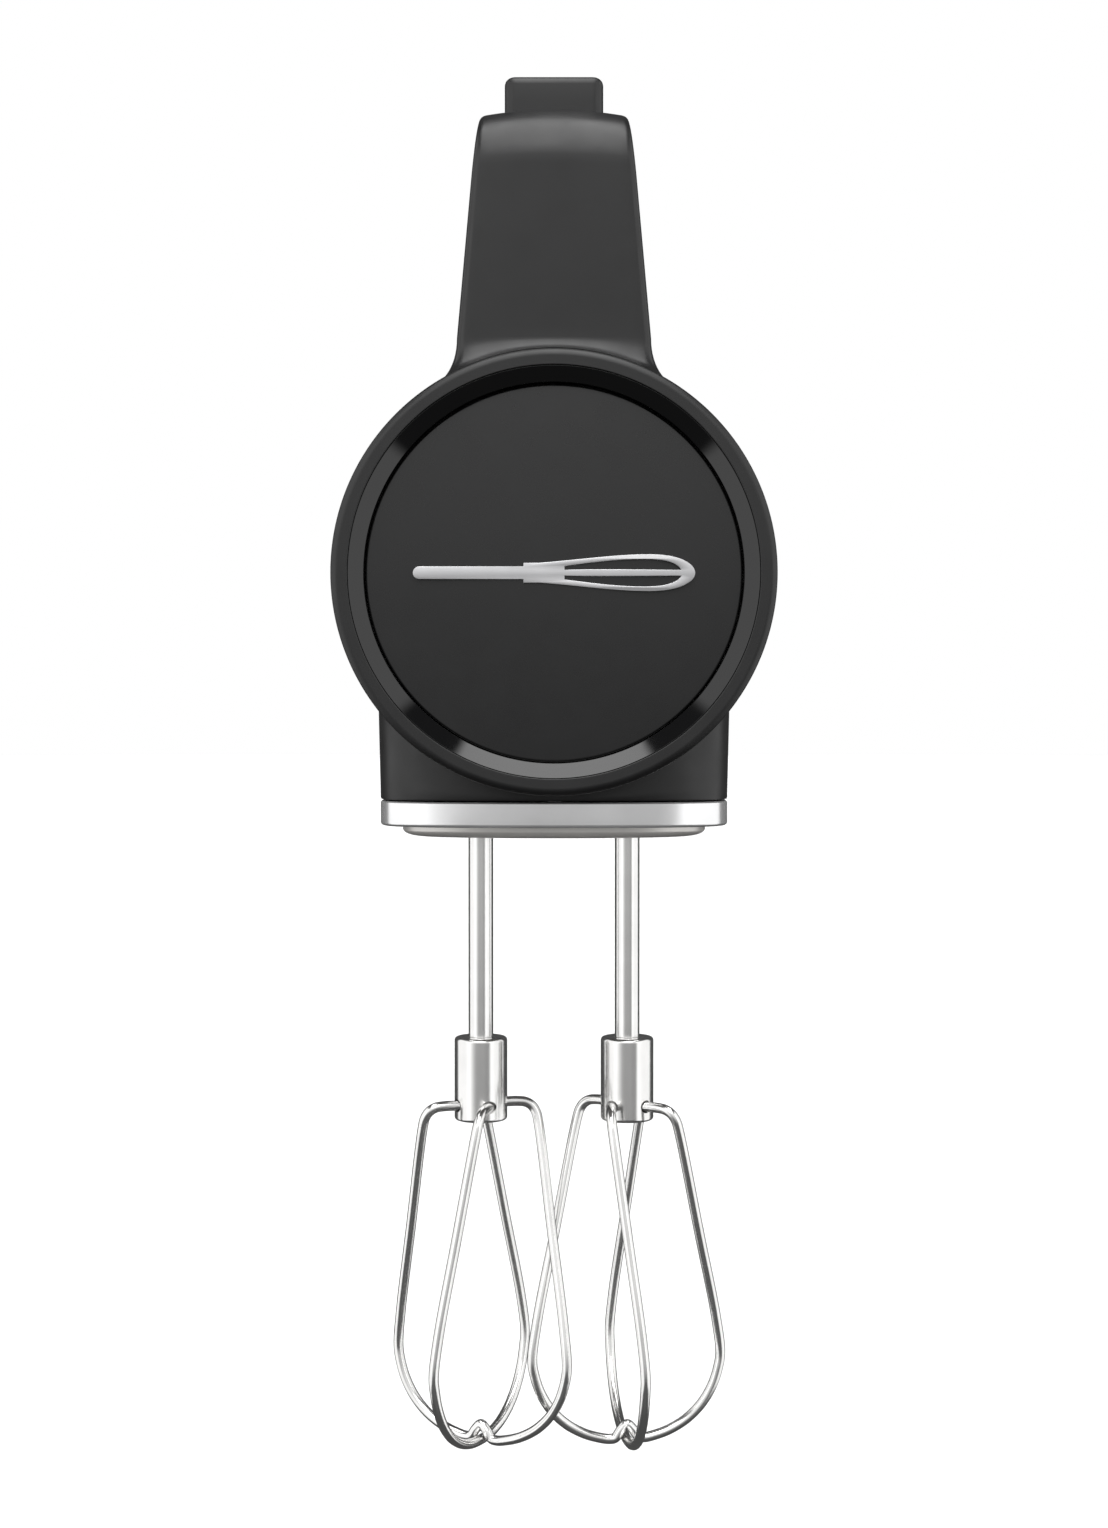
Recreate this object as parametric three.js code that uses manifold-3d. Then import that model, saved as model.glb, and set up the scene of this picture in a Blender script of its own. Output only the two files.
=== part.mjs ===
// Cordless hand mixer with two wire beaters, in millimetres, +Z up.
// The beaters stand along Z with their axes at Y = 0, the nose faces -Y and the handle runs back
// along +Y.
// Heights in this file count from the lowest point of the beaters. The last lines move the whole mixer so
// that its origin is the middle of the hand grip.
import * as THREE from 'three';
import { mergeVertices } from 'three/addons/utils/BufferGeometryUtils.js';
import Module from 'manifold-3d';

// ---- driving dimensions -------------------------------------------------------------------------
const GAP = 0.3;                 // clearance between pieces that touch on the real mixer
const WALL = 2.3;                // moulded wall thickness

const SPINDLE_X = 16;            // half the distance between the beater axes
const BARREL_Z = 188.2;          // height of the barrel's axis
const NOSE_Y = -46;              // foremost plane of the front ring
const BARREL_FRONT = -34;        // front edge of the motor housing
const BARREL_REAR = 97;
const BARREL_R = 43.2;
const RING_R = 44.4;
const RING_FACE_R = 40.9;        // where the matte ring meets the gloss bevel
const DISC_R = 37.6;
const REAR_OPENING_R = 36;

const BODY_HALF = 36.6;          // lower body half width at the trim band
const BODY_DRAFT = 0.03;         // widening of the lower body per millimetre of height
const BODY_FRONT = -34;
const BODY_REAR = 48;
const BAND_BOTTOM = 136.9;
const BAND_TOP = 142.1;
const PLATE_BOTTOM = 134.5;
const PLATE_INSET = 4.4;          // how far the bottom plate sits inside the band
const BOTTOM_SCREWS = [[0, -21], [0, 32]];

const NECK_FRONT = -38;
const NECK_BACK = -12;
const HANDLE_TOP = 284.2;
const HANDLE_UNDER = 260;
const HANDLE_REAR = 96;
const HANDLE_ROUND = 12;         // radius of the handle's top front edge in side view
const GRIP_ROUND = 14;           // radius where the neck meets the grip's underside
const GRIP_CENTRE = [36, 270];   // Y and Z of the middle of the hand grip

const BUTTON_HALF = 10.1;
const BUTTON_Y = [-30, -12];
const BUTTON_TOP = 291.3;

const MOTOR_Z = 170;             // height of the motor axis, the worm and both gears
const MOTOR_R = 17.5;
const MOTOR_Y = [16.2, 62];
const GEAR_TEETH = 20;
const GEAR_MODULE = 1.2;
const WORM_STARTS = 2;
const WORM_PITCH_R = SPINDLE_X - GEAR_TEETH * GEAR_MODULE / 2;
const WORM_LEAD = WORM_STARTS * Math.PI * GEAR_MODULE;
const TOOTH_LEAN = 1;            // which way the gear teeth lean: with the worm's right-hand thread

const SHAFT_R = 2.71;            // beater shaft
const SPINDLE_BORE = 3.1;
const SPINDLE_R = 5.2;
const COLLAR_R = 5.77;
const COLLAR_Z = [71.6, 89.8];
const WIRE_R = 1.1;
const ARM_Z = 75;                // height at which the wires leave the collar
const CAGE_R = 21.1;             // widest radius of a beater's cage

const BATTERY_R = 35.4;
const BATTERY_Y = [26, 98];
const BATTERY_FLOOR = 190.4;
const CELL_R = 9.1;
const CELL_Z = 201.9;

// ---- geometry helpers ---------------------------------------------------------------------------
const wasm = await Module();
wasm.setup();
const X = new THREE.Vector3(1, 0, 0);
const Y = new THREE.Vector3(0, 1, 0);
const Z = new THREE.Vector3(0, 0, 1);
const radians = THREE.MathUtils.degToRad;

// A closed geometry as a solid that can be joined and cut, with its faces pointing out.
function solid(geometry) {
  const plain = geometry.clone();
  plain.deleteAttribute('normal');
  plain.deleteAttribute('uv');
  const merged = mergeVertices(plain, 1e-4);
  const corners = [];
  for (let i = 0; i < merged.index.count; i += 3) {
    const [a, b, c] = [0, 1, 2].map((k) => merged.index.getX(i + k));
    if (a !== b && b !== c && c !== a) corners.push(a, b, c);
  }
  const make = (triVerts) => new wasm.Manifold(new wasm.Mesh({
    numProp: 3,
    vertProperties: new Float32Array(merged.attributes.position.array),
    triVerts: new Uint32Array(triVerts),
  }));
  const made = make(corners);
  return made.volume() < 0 ? make(corners.reverse()) : made;
}

// Outlines are drawn in the plane that the solid is extruded across: (y, z) along X, (x, z) along Y,
// (x, y) along Z.
function extrude(shape, length, options = {}) {
  const settings = { depth: length, bevelEnabled: false, curveSegments: 5, ...options };
  return new THREE.ExtrudeGeometry(shape, settings);
}

function alongX(shape, from, to, options) {
  const geometry = extrude(shape, to - from, options);
  geometry.applyMatrix4(new THREE.Matrix4().makeBasis(Y, Z, X));
  return solid(geometry.translate(from, 0, 0));
}

function alongY(shape, from, to, options) {
  const geometry = extrude(shape, to - from, options);
  geometry.applyMatrix4(new THREE.Matrix4().makeBasis(X, Z, Y.clone().negate()));
  return solid(geometry.translate(0, to, 0));
}

function alongZ(shape, from, to, options) {
  return solid(extrude(shape, to - from, options).translate(0, 0, from));
}

function box([x0, x1], [y0, y1], [z0, z1]) {
  const geometry = new THREE.BoxGeometry(x1 - x0, y1 - y0, z1 - z0);
  return solid(geometry.translate((x0 + x1) / 2, (y0 + y1) / 2, (z0 + z1) / 2));
}

// A round bar between two points.
function bar(from, to, radius, sides = 20) {
  const span = new THREE.Vector3().subVectors(to, from);
  const geometry = new THREE.CylinderGeometry(radius, radius, span.length(), sides);
  geometry.applyQuaternion(new THREE.Quaternion().setFromUnitVectors(Y, span.clone().normalize()));
  const middle = new THREE.Vector3().addVectors(from, to).multiplyScalar(0.5);
  return solid(geometry.translate(middle.x, middle.y, middle.z));
}

const at = (x, y, z) => new THREE.Vector3(x, y, z);
const pinZ = (x, y, z0, z1, radius, sides) => bar(at(x, y, z0), at(x, y, z1), radius, sides);
const pinY = (x, z, y0, y1, radius, sides) => bar(at(x, y0, z), at(x, y1, z), radius, sides);

// A turned solid about a vertical axis at (x, y). The profile's points are [radius, height].
function turnedZ(profile, x = 0, y = 0, sides = 32) {
  const geometry = new THREE.LatheGeometry(profile.map(([r, h]) => new THREE.Vector2(r, h)), sides);
  geometry.rotateX(Math.PI / 2);
  geometry.scale(1, -1, 1);
  return solid(geometry.translate(x, y, 0));
}

// A turned solid about an axis along Y at (x = 0, z). The profile's points are [radius, y].
function turnedY(profile, z, sides = 36) {
  const geometry = new THREE.LatheGeometry(profile.map(([r, h]) => new THREE.Vector2(r, h)), sides);
  return solid(geometry.translate(0, 0, z));
}

// A ring with square edges, as a closed turned profile.
function ringProfile(inner, outer, from, to) {
  return [[inner, from], [outer, from], [outer, to], [inner, to], [inner, from]];
}

function join(first, ...others) {
  return others.reduce((whole, part) => whole.add(part), first);
}

function cut(first, ...others) {
  return others.reduce((whole, part) => whole.subtract(part), first);
}

function polygon(points) {
  const shape = new THREE.Shape();
  points.forEach(([x, y], i) => (i ? shape.lineTo(x, y) : shape.moveTo(x, y)));
  shape.closePath();
  return shape;
}

function roundedRectangle(halfX, halfY, radius, x = 0, y = 0) {
  const shape = new THREE.Shape();
  shape.absarc(x + halfX - radius, y + halfY - radius, radius, 0, Math.PI / 2);
  shape.absarc(x - halfX + radius, y + halfY - radius, radius, Math.PI / 2, Math.PI);
  shape.absarc(x - halfX + radius, y - halfY + radius, radius, Math.PI, 1.5 * Math.PI);
  shape.absarc(x + halfX - radius, y - halfY + radius, radius, 1.5 * Math.PI, 2 * Math.PI);
  shape.closePath();
  return shape;
}

// A tube or wire of round section along a curve.
function tube(curve, radius, steps, sides) {
  const points = [];
  for (let i = 0; i < sides; i += 1) {
    const angle = 2 * Math.PI * i / sides;
    points.push([radius * Math.cos(angle), radius * Math.sin(angle)]);
  }
  const options = { steps, extrudePath: curve, bevelEnabled: false };
  return solid(new THREE.ExtrudeGeometry(polygon(points), options));
}

// ---- looks --------------------------------------------------------------------------------------
const look = (color, roughness, metalness = 0) => ({ color, roughness, metalness });
const LOOKS = {
  housing: look(0x2b2b2c, 0.5),
  handle: look(0x2c2c2d, 0.46),
  bezel: look(0x161617, 0.12),
  disc: look(0x2a2a2b, 0.42),
  emblem: look(0xc9c9c8, 0.35, 0.4),
  button: look(0x262627, 0.5),
  chrome: look(0xd8d8d8, 0.16, 1),
  plate: look(0x8f8c89, 0.35, 0.9),
  steel: look(0xc2c1bf, 0.25, 1),
  rubber: look(0x1b1b1b, 0.85),
  inner: look(0x3b3d40, 0.6),
  brass: look(0xb08d4a, 0.35, 0.9),
  gear: look(0xe6e2d4, 0.5),
  can: look(0x9b9da0, 0.35, 0.9),
  magnet: look(0x47484b, 0.6, 0.3),
  copper: look(0xb3673a, 0.35, 0.9),
  board: look(0x24563a, 0.55),
  cell: look(0x3d6f9c, 0.4),
  lead: look(0x9c2b26, 0.5),
};

const assembly = new THREE.Group();

function addNode(name, shape, finish) {
  const mesh = shape.getMesh();
  const geometry = new THREE.BufferGeometry();
  geometry.setAttribute('position', new THREE.BufferAttribute(new Float32Array(mesh.vertProperties), 3));
  geometry.setIndex(new THREE.BufferAttribute(new Uint32Array(mesh.triVerts), 1));
  geometry.computeVertexNormals();
  const node = new THREE.Mesh(geometry, new THREE.MeshStandardMaterial(LOOKS[finish]));
  node.name = name;
  assembly.add(node);
}

// Adds a left and a right copy of a piece that make(x) builds at the beater axis x.
function addPair(name, finish, make) {
  addNode(`${name}_left`, make(-SPINDLE_X), finish);
  addNode(`${name}_right`, make(SPINDLE_X), finish);
}

// ---- motor housing: a barrel along Y with the lower body under it -------------------------------
const barrelProfile = (inset) => [
  [0, BARREL_FRONT],
  [BARREL_R - inset, BARREL_FRONT],
  [BARREL_R - 0.8 - inset, 20],
  [BARREL_R - 2.2 - inset, 76],
  [BARREL_R - 4 - inset, 92],
  [REAR_OPENING_R + 1.6 - inset, BARREL_REAR],
  [0, BARREL_REAR],
];

// The lower body seen from above: a crowned front, straight sides and a rounded tail.
function footprint(inset) {
  const half = BODY_HALF - inset;
  const front = BODY_FRONT + inset;
  const rear = BODY_REAR - inset;
  const shape = new THREE.Shape();
  shape.moveTo(0, front);
  shape.quadraticCurveTo(half * 0.45, front, half * 0.72, front + 3.6);
  shape.bezierCurveTo(half * 0.94, front + 6.6, half, front + 11, half, front + 19);
  shape.lineTo(half, 18);
  shape.bezierCurveTo(half, rear - 8, half * 0.62, rear, 0, rear);
  shape.bezierCurveTo(-half * 0.62, rear, -half, rear - 8, -half, 18);
  shape.lineTo(-half, front + 19);
  shape.bezierCurveTo(-half, front + 11, -half * 0.94, front + 6.6, -half * 0.72, front + 3.6);
  shape.quadraticCurveTo(-half * 0.45, front, 0, front);
  return shape;
}

// The lower body's block between two heights, a little wider at the top than at the bottom.
function lowerBody(inset, bottom, top) {
  const geometry = extrude(footprint(inset), top - bottom, { curveSegments: 4 }).translate(0, 0, bottom);
  const places = geometry.attributes.position;
  for (let i = 0; i < places.count; i += 1) {
    const widening = 1 + BODY_DRAFT * (places.getZ(i) - BAND_TOP) / BODY_HALF;
    places.setX(i, places.getX(i) * widening);
  }
  return solid(geometry);
}

function housing() {
  const outer = join(turnedY(barrelProfile(0), BARREL_Z), lowerBody(0, BAND_TOP + GAP, BARREL_Z));
  const barrelRoom = turnedY(barrelProfile(WALL), BARREL_Z);
  const frontRoom = pinY(0, BARREL_Z, BARREL_FRONT - 1, BARREL_FRONT + 4, BARREL_R - WALL, 48);
  const rearRoom = pinY(0, BARREL_Z, 88, BARREL_REAR + 1, REAR_OPENING_R, 48);
  const bodyRoom = lowerBody(WALL, BAND_TOP - 1, BARREL_Z);
  const neckSlot = box([-12.8, 12.8], [-25.6, -14], [BARREL_Z, BARREL_Z + BARREL_R + 5]);
  const shell = cut(outer, barrelRoom, frontRoom, rearRoom, bodyRoom, neckSlot);
  const pillars = BOTTOM_SCREWS.map(([x, y]) => {
    const wall = y < 0 ? BODY_FRONT + 1 : BODY_REAR - 1;
    const rib = box([x - 1.2, x + 1.2], [Math.min(y, wall), Math.max(y, wall)], [BAND_TOP + GAP, 150]);
    return cut(join(pinZ(x, y, PLATE_BOTTOM + 3.8, 150, 3.6, 14), rib), pinZ(x, y, 130, 146, 1.8, 10));
  });
  return join(shell, ...pillars);
}

// ---- front: matte ring, gloss bevel and disc with a whisk sign ----------------------------------
function frontRing() {
  return turnedY([
    [RING_FACE_R + GAP, NOSE_Y + 0.5],
    [RING_FACE_R + 0.9, NOSE_Y],
    [RING_R - 1.6, NOSE_Y],
    [RING_R - 0.5, NOSE_Y + 0.5],
    [RING_R, NOSE_Y + 1.6],
    [RING_R, BARREL_FRONT - 1],
    [BARREL_R, BARREL_FRONT - GAP],
    [RING_FACE_R + GAP, BARREL_FRONT - GAP],
    [RING_FACE_R + GAP, NOSE_Y + 0.5],
  ], BARREL_Z);
}

function bezelRing() {
  return turnedY([
    [RING_FACE_R, NOSE_Y + 0.2],
    [RING_FACE_R, BARREL_FRONT - GAP],
    [34, BARREL_FRONT - GAP],
    [34, BARREL_FRONT - 3],
    [DISC_R + GAP, BARREL_FRONT - 3],
    [DISC_R + GAP, NOSE_Y + 3.2],
    [RING_FACE_R, NOSE_Y + 0.2],
  ], BARREL_Z);
}

const DISC_FACE = NOSE_Y + 2.7;

function frontDisc() {
  return turnedY([
    [0, DISC_FACE],
    [DISC_R - 0.6, DISC_FACE],
    [DISC_R, DISC_FACE + 0.6],
    [DISC_R, BARREL_FRONT - 3 - GAP],
    [DISC_R - 2, BARREL_FRONT - 3 - GAP],
    [DISC_R - 2, DISC_FACE + 2.4],
    [0, DISC_FACE + 2.4],
  ], BARREL_Z);
}

// A plain whisk lying on its side: a handle, a collar and the outline of its loops.
function whiskSign() {
  const outline = new THREE.Shape();
  outline.moveTo(-26.8, -1.2);
  outline.absarc(-26.8, 0, 1.2, Math.PI * 1.5, Math.PI * 0.5, true);
  outline.lineTo(-6, 1.2);
  outline.lineTo(-6, 1.9);
  outline.lineTo(-3, 1.9);
  outline.bezierCurveTo(6, 2.6, 12, 3.6, 19, 3.6);
  outline.bezierCurveTo(31, 3.6, 31, -3.6, 19, -3.6);
  outline.bezierCurveTo(12, -3.6, 6, -2.6, -3, -1.9);
  outline.lineTo(-6, -1.9);
  outline.lineTo(-6, -1.2);
  outline.closePath();
  const openings = [-1, 1].map((side) => {
    const opening = new THREE.Shape();
    opening.moveTo(2, side * 0.5);
    opening.bezierCurveTo(8, side * 0.7, 14, side * 0.6, 25.5, side * 0.5);
    opening.bezierCurveTo(24.5, side * 2.2, 22, side * 2.8, 18, side * 2.8);
    opening.bezierCurveTo(12, side * 2.8, 7, side * 2, 2, side * 1.4);
    return alongY(opening, DISC_FACE - 2, DISC_FACE + 2, { curveSegments: 4 });
  });
  const sign = cut(alongY(outline, DISC_FACE - 0.5, DISC_FACE - 0.1, { curveSegments: 5 }), ...openings);
  return sign.translate([0, 0, BARREL_Z]);
}

addNode('motor_housing', housing(), 'housing');
addNode('front_ring', frontRing(), 'housing');
addNode('bezel_ring', bezelRing(), 'bezel');
addNode('front_disc', frontDisc(), 'disc');
addNode('front_emblem', whiskSign(), 'emblem');

// ---- trim band, bottom plate and shaft seals ----------------------------------------------------
function trimBand() {
  const round = 0.7;
  const bevel = {
    bevelEnabled: true, bevelSize: round, bevelThickness: round, bevelSegments: 2, bevelOffset: -round,
  };
  const outer = alongZ(footprint(0), BAND_BOTTOM + round, BAND_TOP + 2, { ...bevel, curveSegments: 5 });
  const above = box([-50, 50], [-50, 60], [BAND_TOP, BAND_TOP + 10]);
  const room = footprint(PLATE_INSET - 0.4);
  const inside = alongZ(room, BAND_BOTTOM - 2, BAND_TOP + 2, { curveSegments: 5 });
  return cut(outer, above, inside);
}

function bottomPlate() {
  const round = 3.2;
  const rise = 1.5;
  const top = PLATE_BOTTOM + 3.4;
  const bevel = {
    bevelEnabled: true, bevelSize: round, bevelThickness: rise, bevelSegments: 3, bevelOffset: -round,
  };
  const outer = alongZ(footprint(PLATE_INSET), PLATE_BOTTOM + rise, top + 2, { ...bevel, curveSegments: 5 });
  let plate = cut(outer, box([-50, 50], [-50, 60], [top, top + 10]));
  for (const side of [-1, 1]) plate = cut(plate, pinZ(side * SPINDLE_X, 0, 130, 145, 8.3, 24));
  for (const [x, y] of BOTTOM_SCREWS) {
    plate = cut(plate, pinZ(x, y, 130, 145, 1.8, 12), pinZ(x, y, 130, PLATE_BOTTOM + 1.6, 3.3, 16));
  }
  return plate;
}

function screw(x, y, headBottom, length) {
  const head = pinZ(x, y, headBottom, headBottom + 1.4, 3, 12);
  const driveSlot = box([x - 2, x + 2], [y - 0.4, y + 0.4], [headBottom - 1, headBottom + 0.6]);
  return cut(join(head, pinZ(x, y, headBottom + 1, headBottom + length, 1.4, 10)), driveSlot);
}

addNode('trim_band', trimBand(), 'chrome');
addNode('bottom_plate', bottomPlate(), 'plate');
addNode('bottom_screw_front', screw(...BOTTOM_SCREWS[0], PLATE_BOTTOM + 0.1, 9), 'steel');
addNode('bottom_screw_rear', screw(...BOTTOM_SCREWS[1], PLATE_BOTTOM + 0.1, 9), 'steel');
addPair('shaft_seal', 'rubber', (x) => turnedZ(
  ringProfile(SPINDLE_R + GAP, 8, PLATE_BOTTOM + 0.6, PLATE_BOTTOM + 4), x, 0, 20));

// ---- handle: neck and grip in one L, split into a top cover and a grip shell --------------------
// Side view of the neck and grip as (y, z).
function handleSide(inset) {
  const top = HANDLE_TOP - inset;
  const under = HANDLE_UNDER + inset;
  const front = NECK_FRONT + inset;
  const back = NECK_BACK - inset;
  const rear = HANDLE_REAR - inset;
  const round = HANDLE_ROUND - inset;
  const crook = GRIP_ROUND + inset;
  const shape = new THREE.Shape();
  shape.moveTo(front, BARREL_Z + 30);
  shape.lineTo(front, top - round);
  shape.absarc(front + round, top - round, round, Math.PI, Math.PI / 2, true);
  shape.lineTo(44, top);
  shape.quadraticCurveTo(68, top, 82, top - 4.2);
  shape.bezierCurveTo(rear - 3, top - 8.5, rear, top - 14, rear - 1, under + 5);
  shape.quadraticCurveTo(rear - 3, under - 2, rear - 14, under - 2);
  shape.quadraticCurveTo(50, under + 1.5, 24, under);
  shape.lineTo(back + crook, under);
  shape.absarc(back + crook, under - crook, crook, Math.PI / 2, Math.PI);
  shape.lineTo(back, BARREL_Z + 30);
  shape.closePath();
  return shape;
}

// Front view of the neck and grip as (x, z): a crowned top, then sides that widen downwards.
function handleFront(inset) {
  const shape = new THREE.Shape();
  const top = HANDLE_TOP - inset;
  shape.moveTo(0, top);
  shape.quadraticCurveTo(7, top, 13.8 - inset, top - 1.7);
  shape.quadraticCurveTo(15.2 - inset, top - 2.1, 15.4 - inset, top - 3.5);
  shape.lineTo(16.6 - inset, 269.3);
  shape.lineTo(19.5 - inset, 237.3);
  shape.quadraticCurveTo(20 - inset, 232, 25 - inset, 226);
  shape.lineTo(25 - inset, BARREL_Z + 30);
  shape.lineTo(-25 + inset, BARREL_Z + 30);
  shape.lineTo(-25 + inset, 226);
  shape.quadraticCurveTo(-20 + inset, 232, -19.5 + inset, 237.3);
  shape.lineTo(-16.6 + inset, 269.3);
  shape.lineTo(-15.4 + inset, top - 3.5);
  shape.quadraticCurveTo(-15.2 + inset, top - 2.1, -13.8 + inset, top - 1.7);
  shape.quadraticCurveTo(-7, top, 0, top);
  return shape;
}

// The concave foot that carries the front of the neck forward on to the ring.
function neckFoot() {
  const foot = turnedY([
    [BARREL_R - 4, -44],
    [RING_R + 0.6, -44],
    [RING_R + 1.3, -41.6],
    [RING_R + 2.6, -39.6],
    [RING_R + 4.8, NECK_FRONT],
    [RING_R + 4.8, NECK_FRONT + WALL],
    [BARREL_R - 4, NECK_FRONT + WALL],
    [BARREL_R - 4, -44],
  ], BARREL_Z, 64);
  return foot.intersect(alongY(handleFront(0), -50, -30));
}

function handleBlock(inset) {
  return alongX(handleSide(inset), -26, 26).intersect(alongY(handleFront(inset), -50, 110));
}

function handleShell() {
  const barrelSeat = join(
    turnedY(barrelProfile(-GAP), BARREL_Z),
    pinY(0, BARREL_Z, -60, BARREL_FRONT + 1, RING_R + GAP, 64),
  );
  return cut(join(handleBlock(0), neckFoot()), handleBlock(WALL), barrelSeat);
}

// What belongs to the top cover, seen from the side: everything ahead of and above the parting line.
function coverRegion(offset) {
  return polygon([
    [-60, 215], [-24 - offset, 215], [-24 - offset, 268 + offset],
    [130, 268 + offset], [130, 300], [-60, 300],
  ]);
}

const SLIDER_TRAVEL = 20;
const SLIDER_Y = [4, 20];
const STEM_Y = [9, 15];
const HANDLE_SCREWS = [[50, 260.9], [80, 259.1]];   // Y and the height of the underside of each head

function handleCover() {
  const region = alongX(coverRegion(0), -40, 40);
  const wellX = BUTTON_HALF + 0.4;
  const buttonWell = box([-wellX, wellX], [BUTTON_Y[0] - 0.4, BUTTON_Y[1] + 0.4], [275, 300]);
  const sliderSlot = box([-3.4, 3.4], [STEM_Y[0] - 0.4, STEM_Y[1] + SLIDER_TRAVEL + 0.4], [275, 300]);
  let cover = handleShell().intersect(region);
  for (const [y] of HANDLE_SCREWS) {
    const boss = pinZ(0, y, 268, 290, 3.6, 12).intersect(handleBlock(1));
    cover = cut(join(cover, boss), pinZ(0, y, 260, 274, 1.7, 10));
  }
  return cut(cover, buttonWell, sliderSlot);
}

function handleGrip() {
  let grip = cut(handleShell(), alongX(coverRegion(-GAP), -40, 40));
  for (const [y, head] of HANDLE_SCREWS) {
    const boss = pinZ(0, y, head, 268 - GAP, 4.4, 14);
    grip = cut(join(grip, boss), pinZ(0, y, 250, 275, 1.8, 10), pinZ(0, y, 250, head + 1.7, 3.3, 14));
  }
  return grip;
}

addNode('handle_cover', handleCover(), 'handle');
addNode('handle_grip', handleGrip(), 'handle');
HANDLE_SCREWS.forEach(([y, head], i) => {
  addNode(`handle_screw_${i ? 'rear' : 'front'}`, screw(0, y, head, 12), 'steel');
});

// ---- speed slider and its switch ----------------------------------------------------------------
function speedSlider() {
  const plan = roundedRectangle(7, 8, 3, 0, (SLIDER_Y[0] + SLIDER_Y[1]) / 2);
  const cap = alongZ(plan, HANDLE_TOP + GAP, HANDLE_TOP + 3.2, {
    bevelEnabled: true, bevelSize: 0.8, bevelThickness: 0.8, bevelOffset: -0.8, bevelSegments: 1,
  });
  const belowCap = box([-20, 20], [-10, 40], [270, HANDLE_TOP + GAP]);
  const stem = box([-3, 3], STEM_Y, [276.5, HANDLE_TOP + 2]);
  const grooves = [8, 12, 16].map((y) => (
    box([-5, 5], [y - 0.5, y + 0.5], [HANDLE_TOP + 3.4, HANDLE_TOP + 9])));
  return cut(join(cut(cap, belowCap), stem), ...grooves);
}

function speedSwitch() {
  const block = box([-6.5, 6.5], [5, 40], [264.5, 276]);
  const track = box([-3.5, 3.5], [8, 36], [273, 277]);
  const tabs = [4, 41].map((y) => box([-10, 10], [y - 2, y + 2], [264.5, 266.5]));
  return cut(join(block, ...tabs), track);
}

addNode('speed_slider', speedSlider(), 'button');
addNode('speed_switch', speedSwitch(), 'inner');

// ---- beater eject: button, rod with fork, guide and return spring -------------------------------
const ROD_Y = -20;
const FORK_Z = [193.3, 196.3];
const GUIDE_Z = [258, 261];

function ejectButton() {
  const [y0, y1] = BUTTON_Y;
  const edge = 1.6;
  const profile = new THREE.Shape();
  profile.moveTo(-BUTTON_HALF, 278);
  profile.lineTo(BUTTON_HALF, 278);
  profile.lineTo(BUTTON_HALF, BUTTON_TOP - 1 - edge);
  profile.quadraticCurveTo(BUTTON_HALF, BUTTON_TOP - 1, BUTTON_HALF - edge, BUTTON_TOP - 0.8);
  profile.quadraticCurveTo(0, BUTTON_TOP + 0.8, -BUTTON_HALF + edge, BUTTON_TOP - 0.8);
  profile.quadraticCurveTo(-BUTTON_HALF, BUTTON_TOP - 1, -BUTTON_HALF, BUTTON_TOP - 1 - edge);
  profile.closePath();
  const cap = alongY(profile, y0, y1);
  const planned = alongZ(roundedRectangle(BUTTON_HALF, (y1 - y0) / 2, 2.2, 0, (y0 + y1) / 2), 270, 300);
  const flange = box([-11.8, 11.8], [-24, -14], [277.5, 279.2]);
  const room = box([-8, 8], [y0 + 2, y1 - 2], [270, 287]);
  const boss = box([-4, 4], [-24, -16], [278, 288]);
  return join(cut(cap.intersect(planned), room), cut(flange, room), boss);
}

function ejectRod() {
  const rod = box([-3, 3], [ROD_Y - 2, ROD_Y + 2], [FORK_Z[0], 278 - GAP]);
  const bridge = box([-20, 20], [-22, -14], FORK_Z);
  const arms = [-SPINDLE_X, SPINDLE_X].map((x) => box([x - 3.8, x + 3.8], [-15, 4], FORK_Z));
  const web = box([-3, 3], [-22, -14.5], [FORK_Z[0], FORK_Z[1] + 6]);
  return join(rod, bridge, web, ...arms);
}

function ejectGuide() {
  const plate = box([-14.6, 14.6], [-35, -15], GUIDE_Z);
  const rodHole = box([-3.4, 3.4], [ROD_Y - 2.4, ROD_Y + 2.4], [250, 270]);
  const leadNotch = box([8.4, 15], [-22, -14], [250, 270]);
  return cut(plate, rodHole, leadNotch);
}

function ejectSpring() {
  const [bottom, top] = [GUIDE_Z[1] + 0.9, 278 - 0.9];
  const steps = 40;
  const stepsPerTurn = 8;
  const points = [];
  for (let i = 0; i <= steps; i += 1) {
    const angle = 2 * Math.PI * i / stepsPerTurn;
    const height = bottom + (top - bottom) * i / steps;
    points.push(at(4.8 * Math.cos(angle), ROD_Y + 4.8 * Math.sin(angle), height));
  }
  return tube(new THREE.CatmullRomCurve3(points), 0.5, steps, 5);
}

addNode('eject_button', ejectButton(), 'button');
addNode('eject_rod', ejectRod(), 'inner');
addNode('eject_guide', ejectGuide(), 'inner');
addNode('eject_spring', ejectSpring(), 'steel');

// ---- motor, worm and cooling fan ----------------------------------------------------------------
function motorCan() {
  const [front, rear] = MOTOR_Y;
  const can = turnedY([
    [4, front], [MOTOR_R, front], [MOTOR_R, rear], [MOTOR_R - 1, rear],
    [MOTOR_R - 1, front + 1.6], [4, front + 1.6], [4, front],
  ], MOTOR_Z, 28);
  const frontBoss = turnedY(ringProfile(2.2, 4.4, front - 0.6, front + 5), MOTOR_Z, 14);
  return join(can, frontBoss);
}

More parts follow.
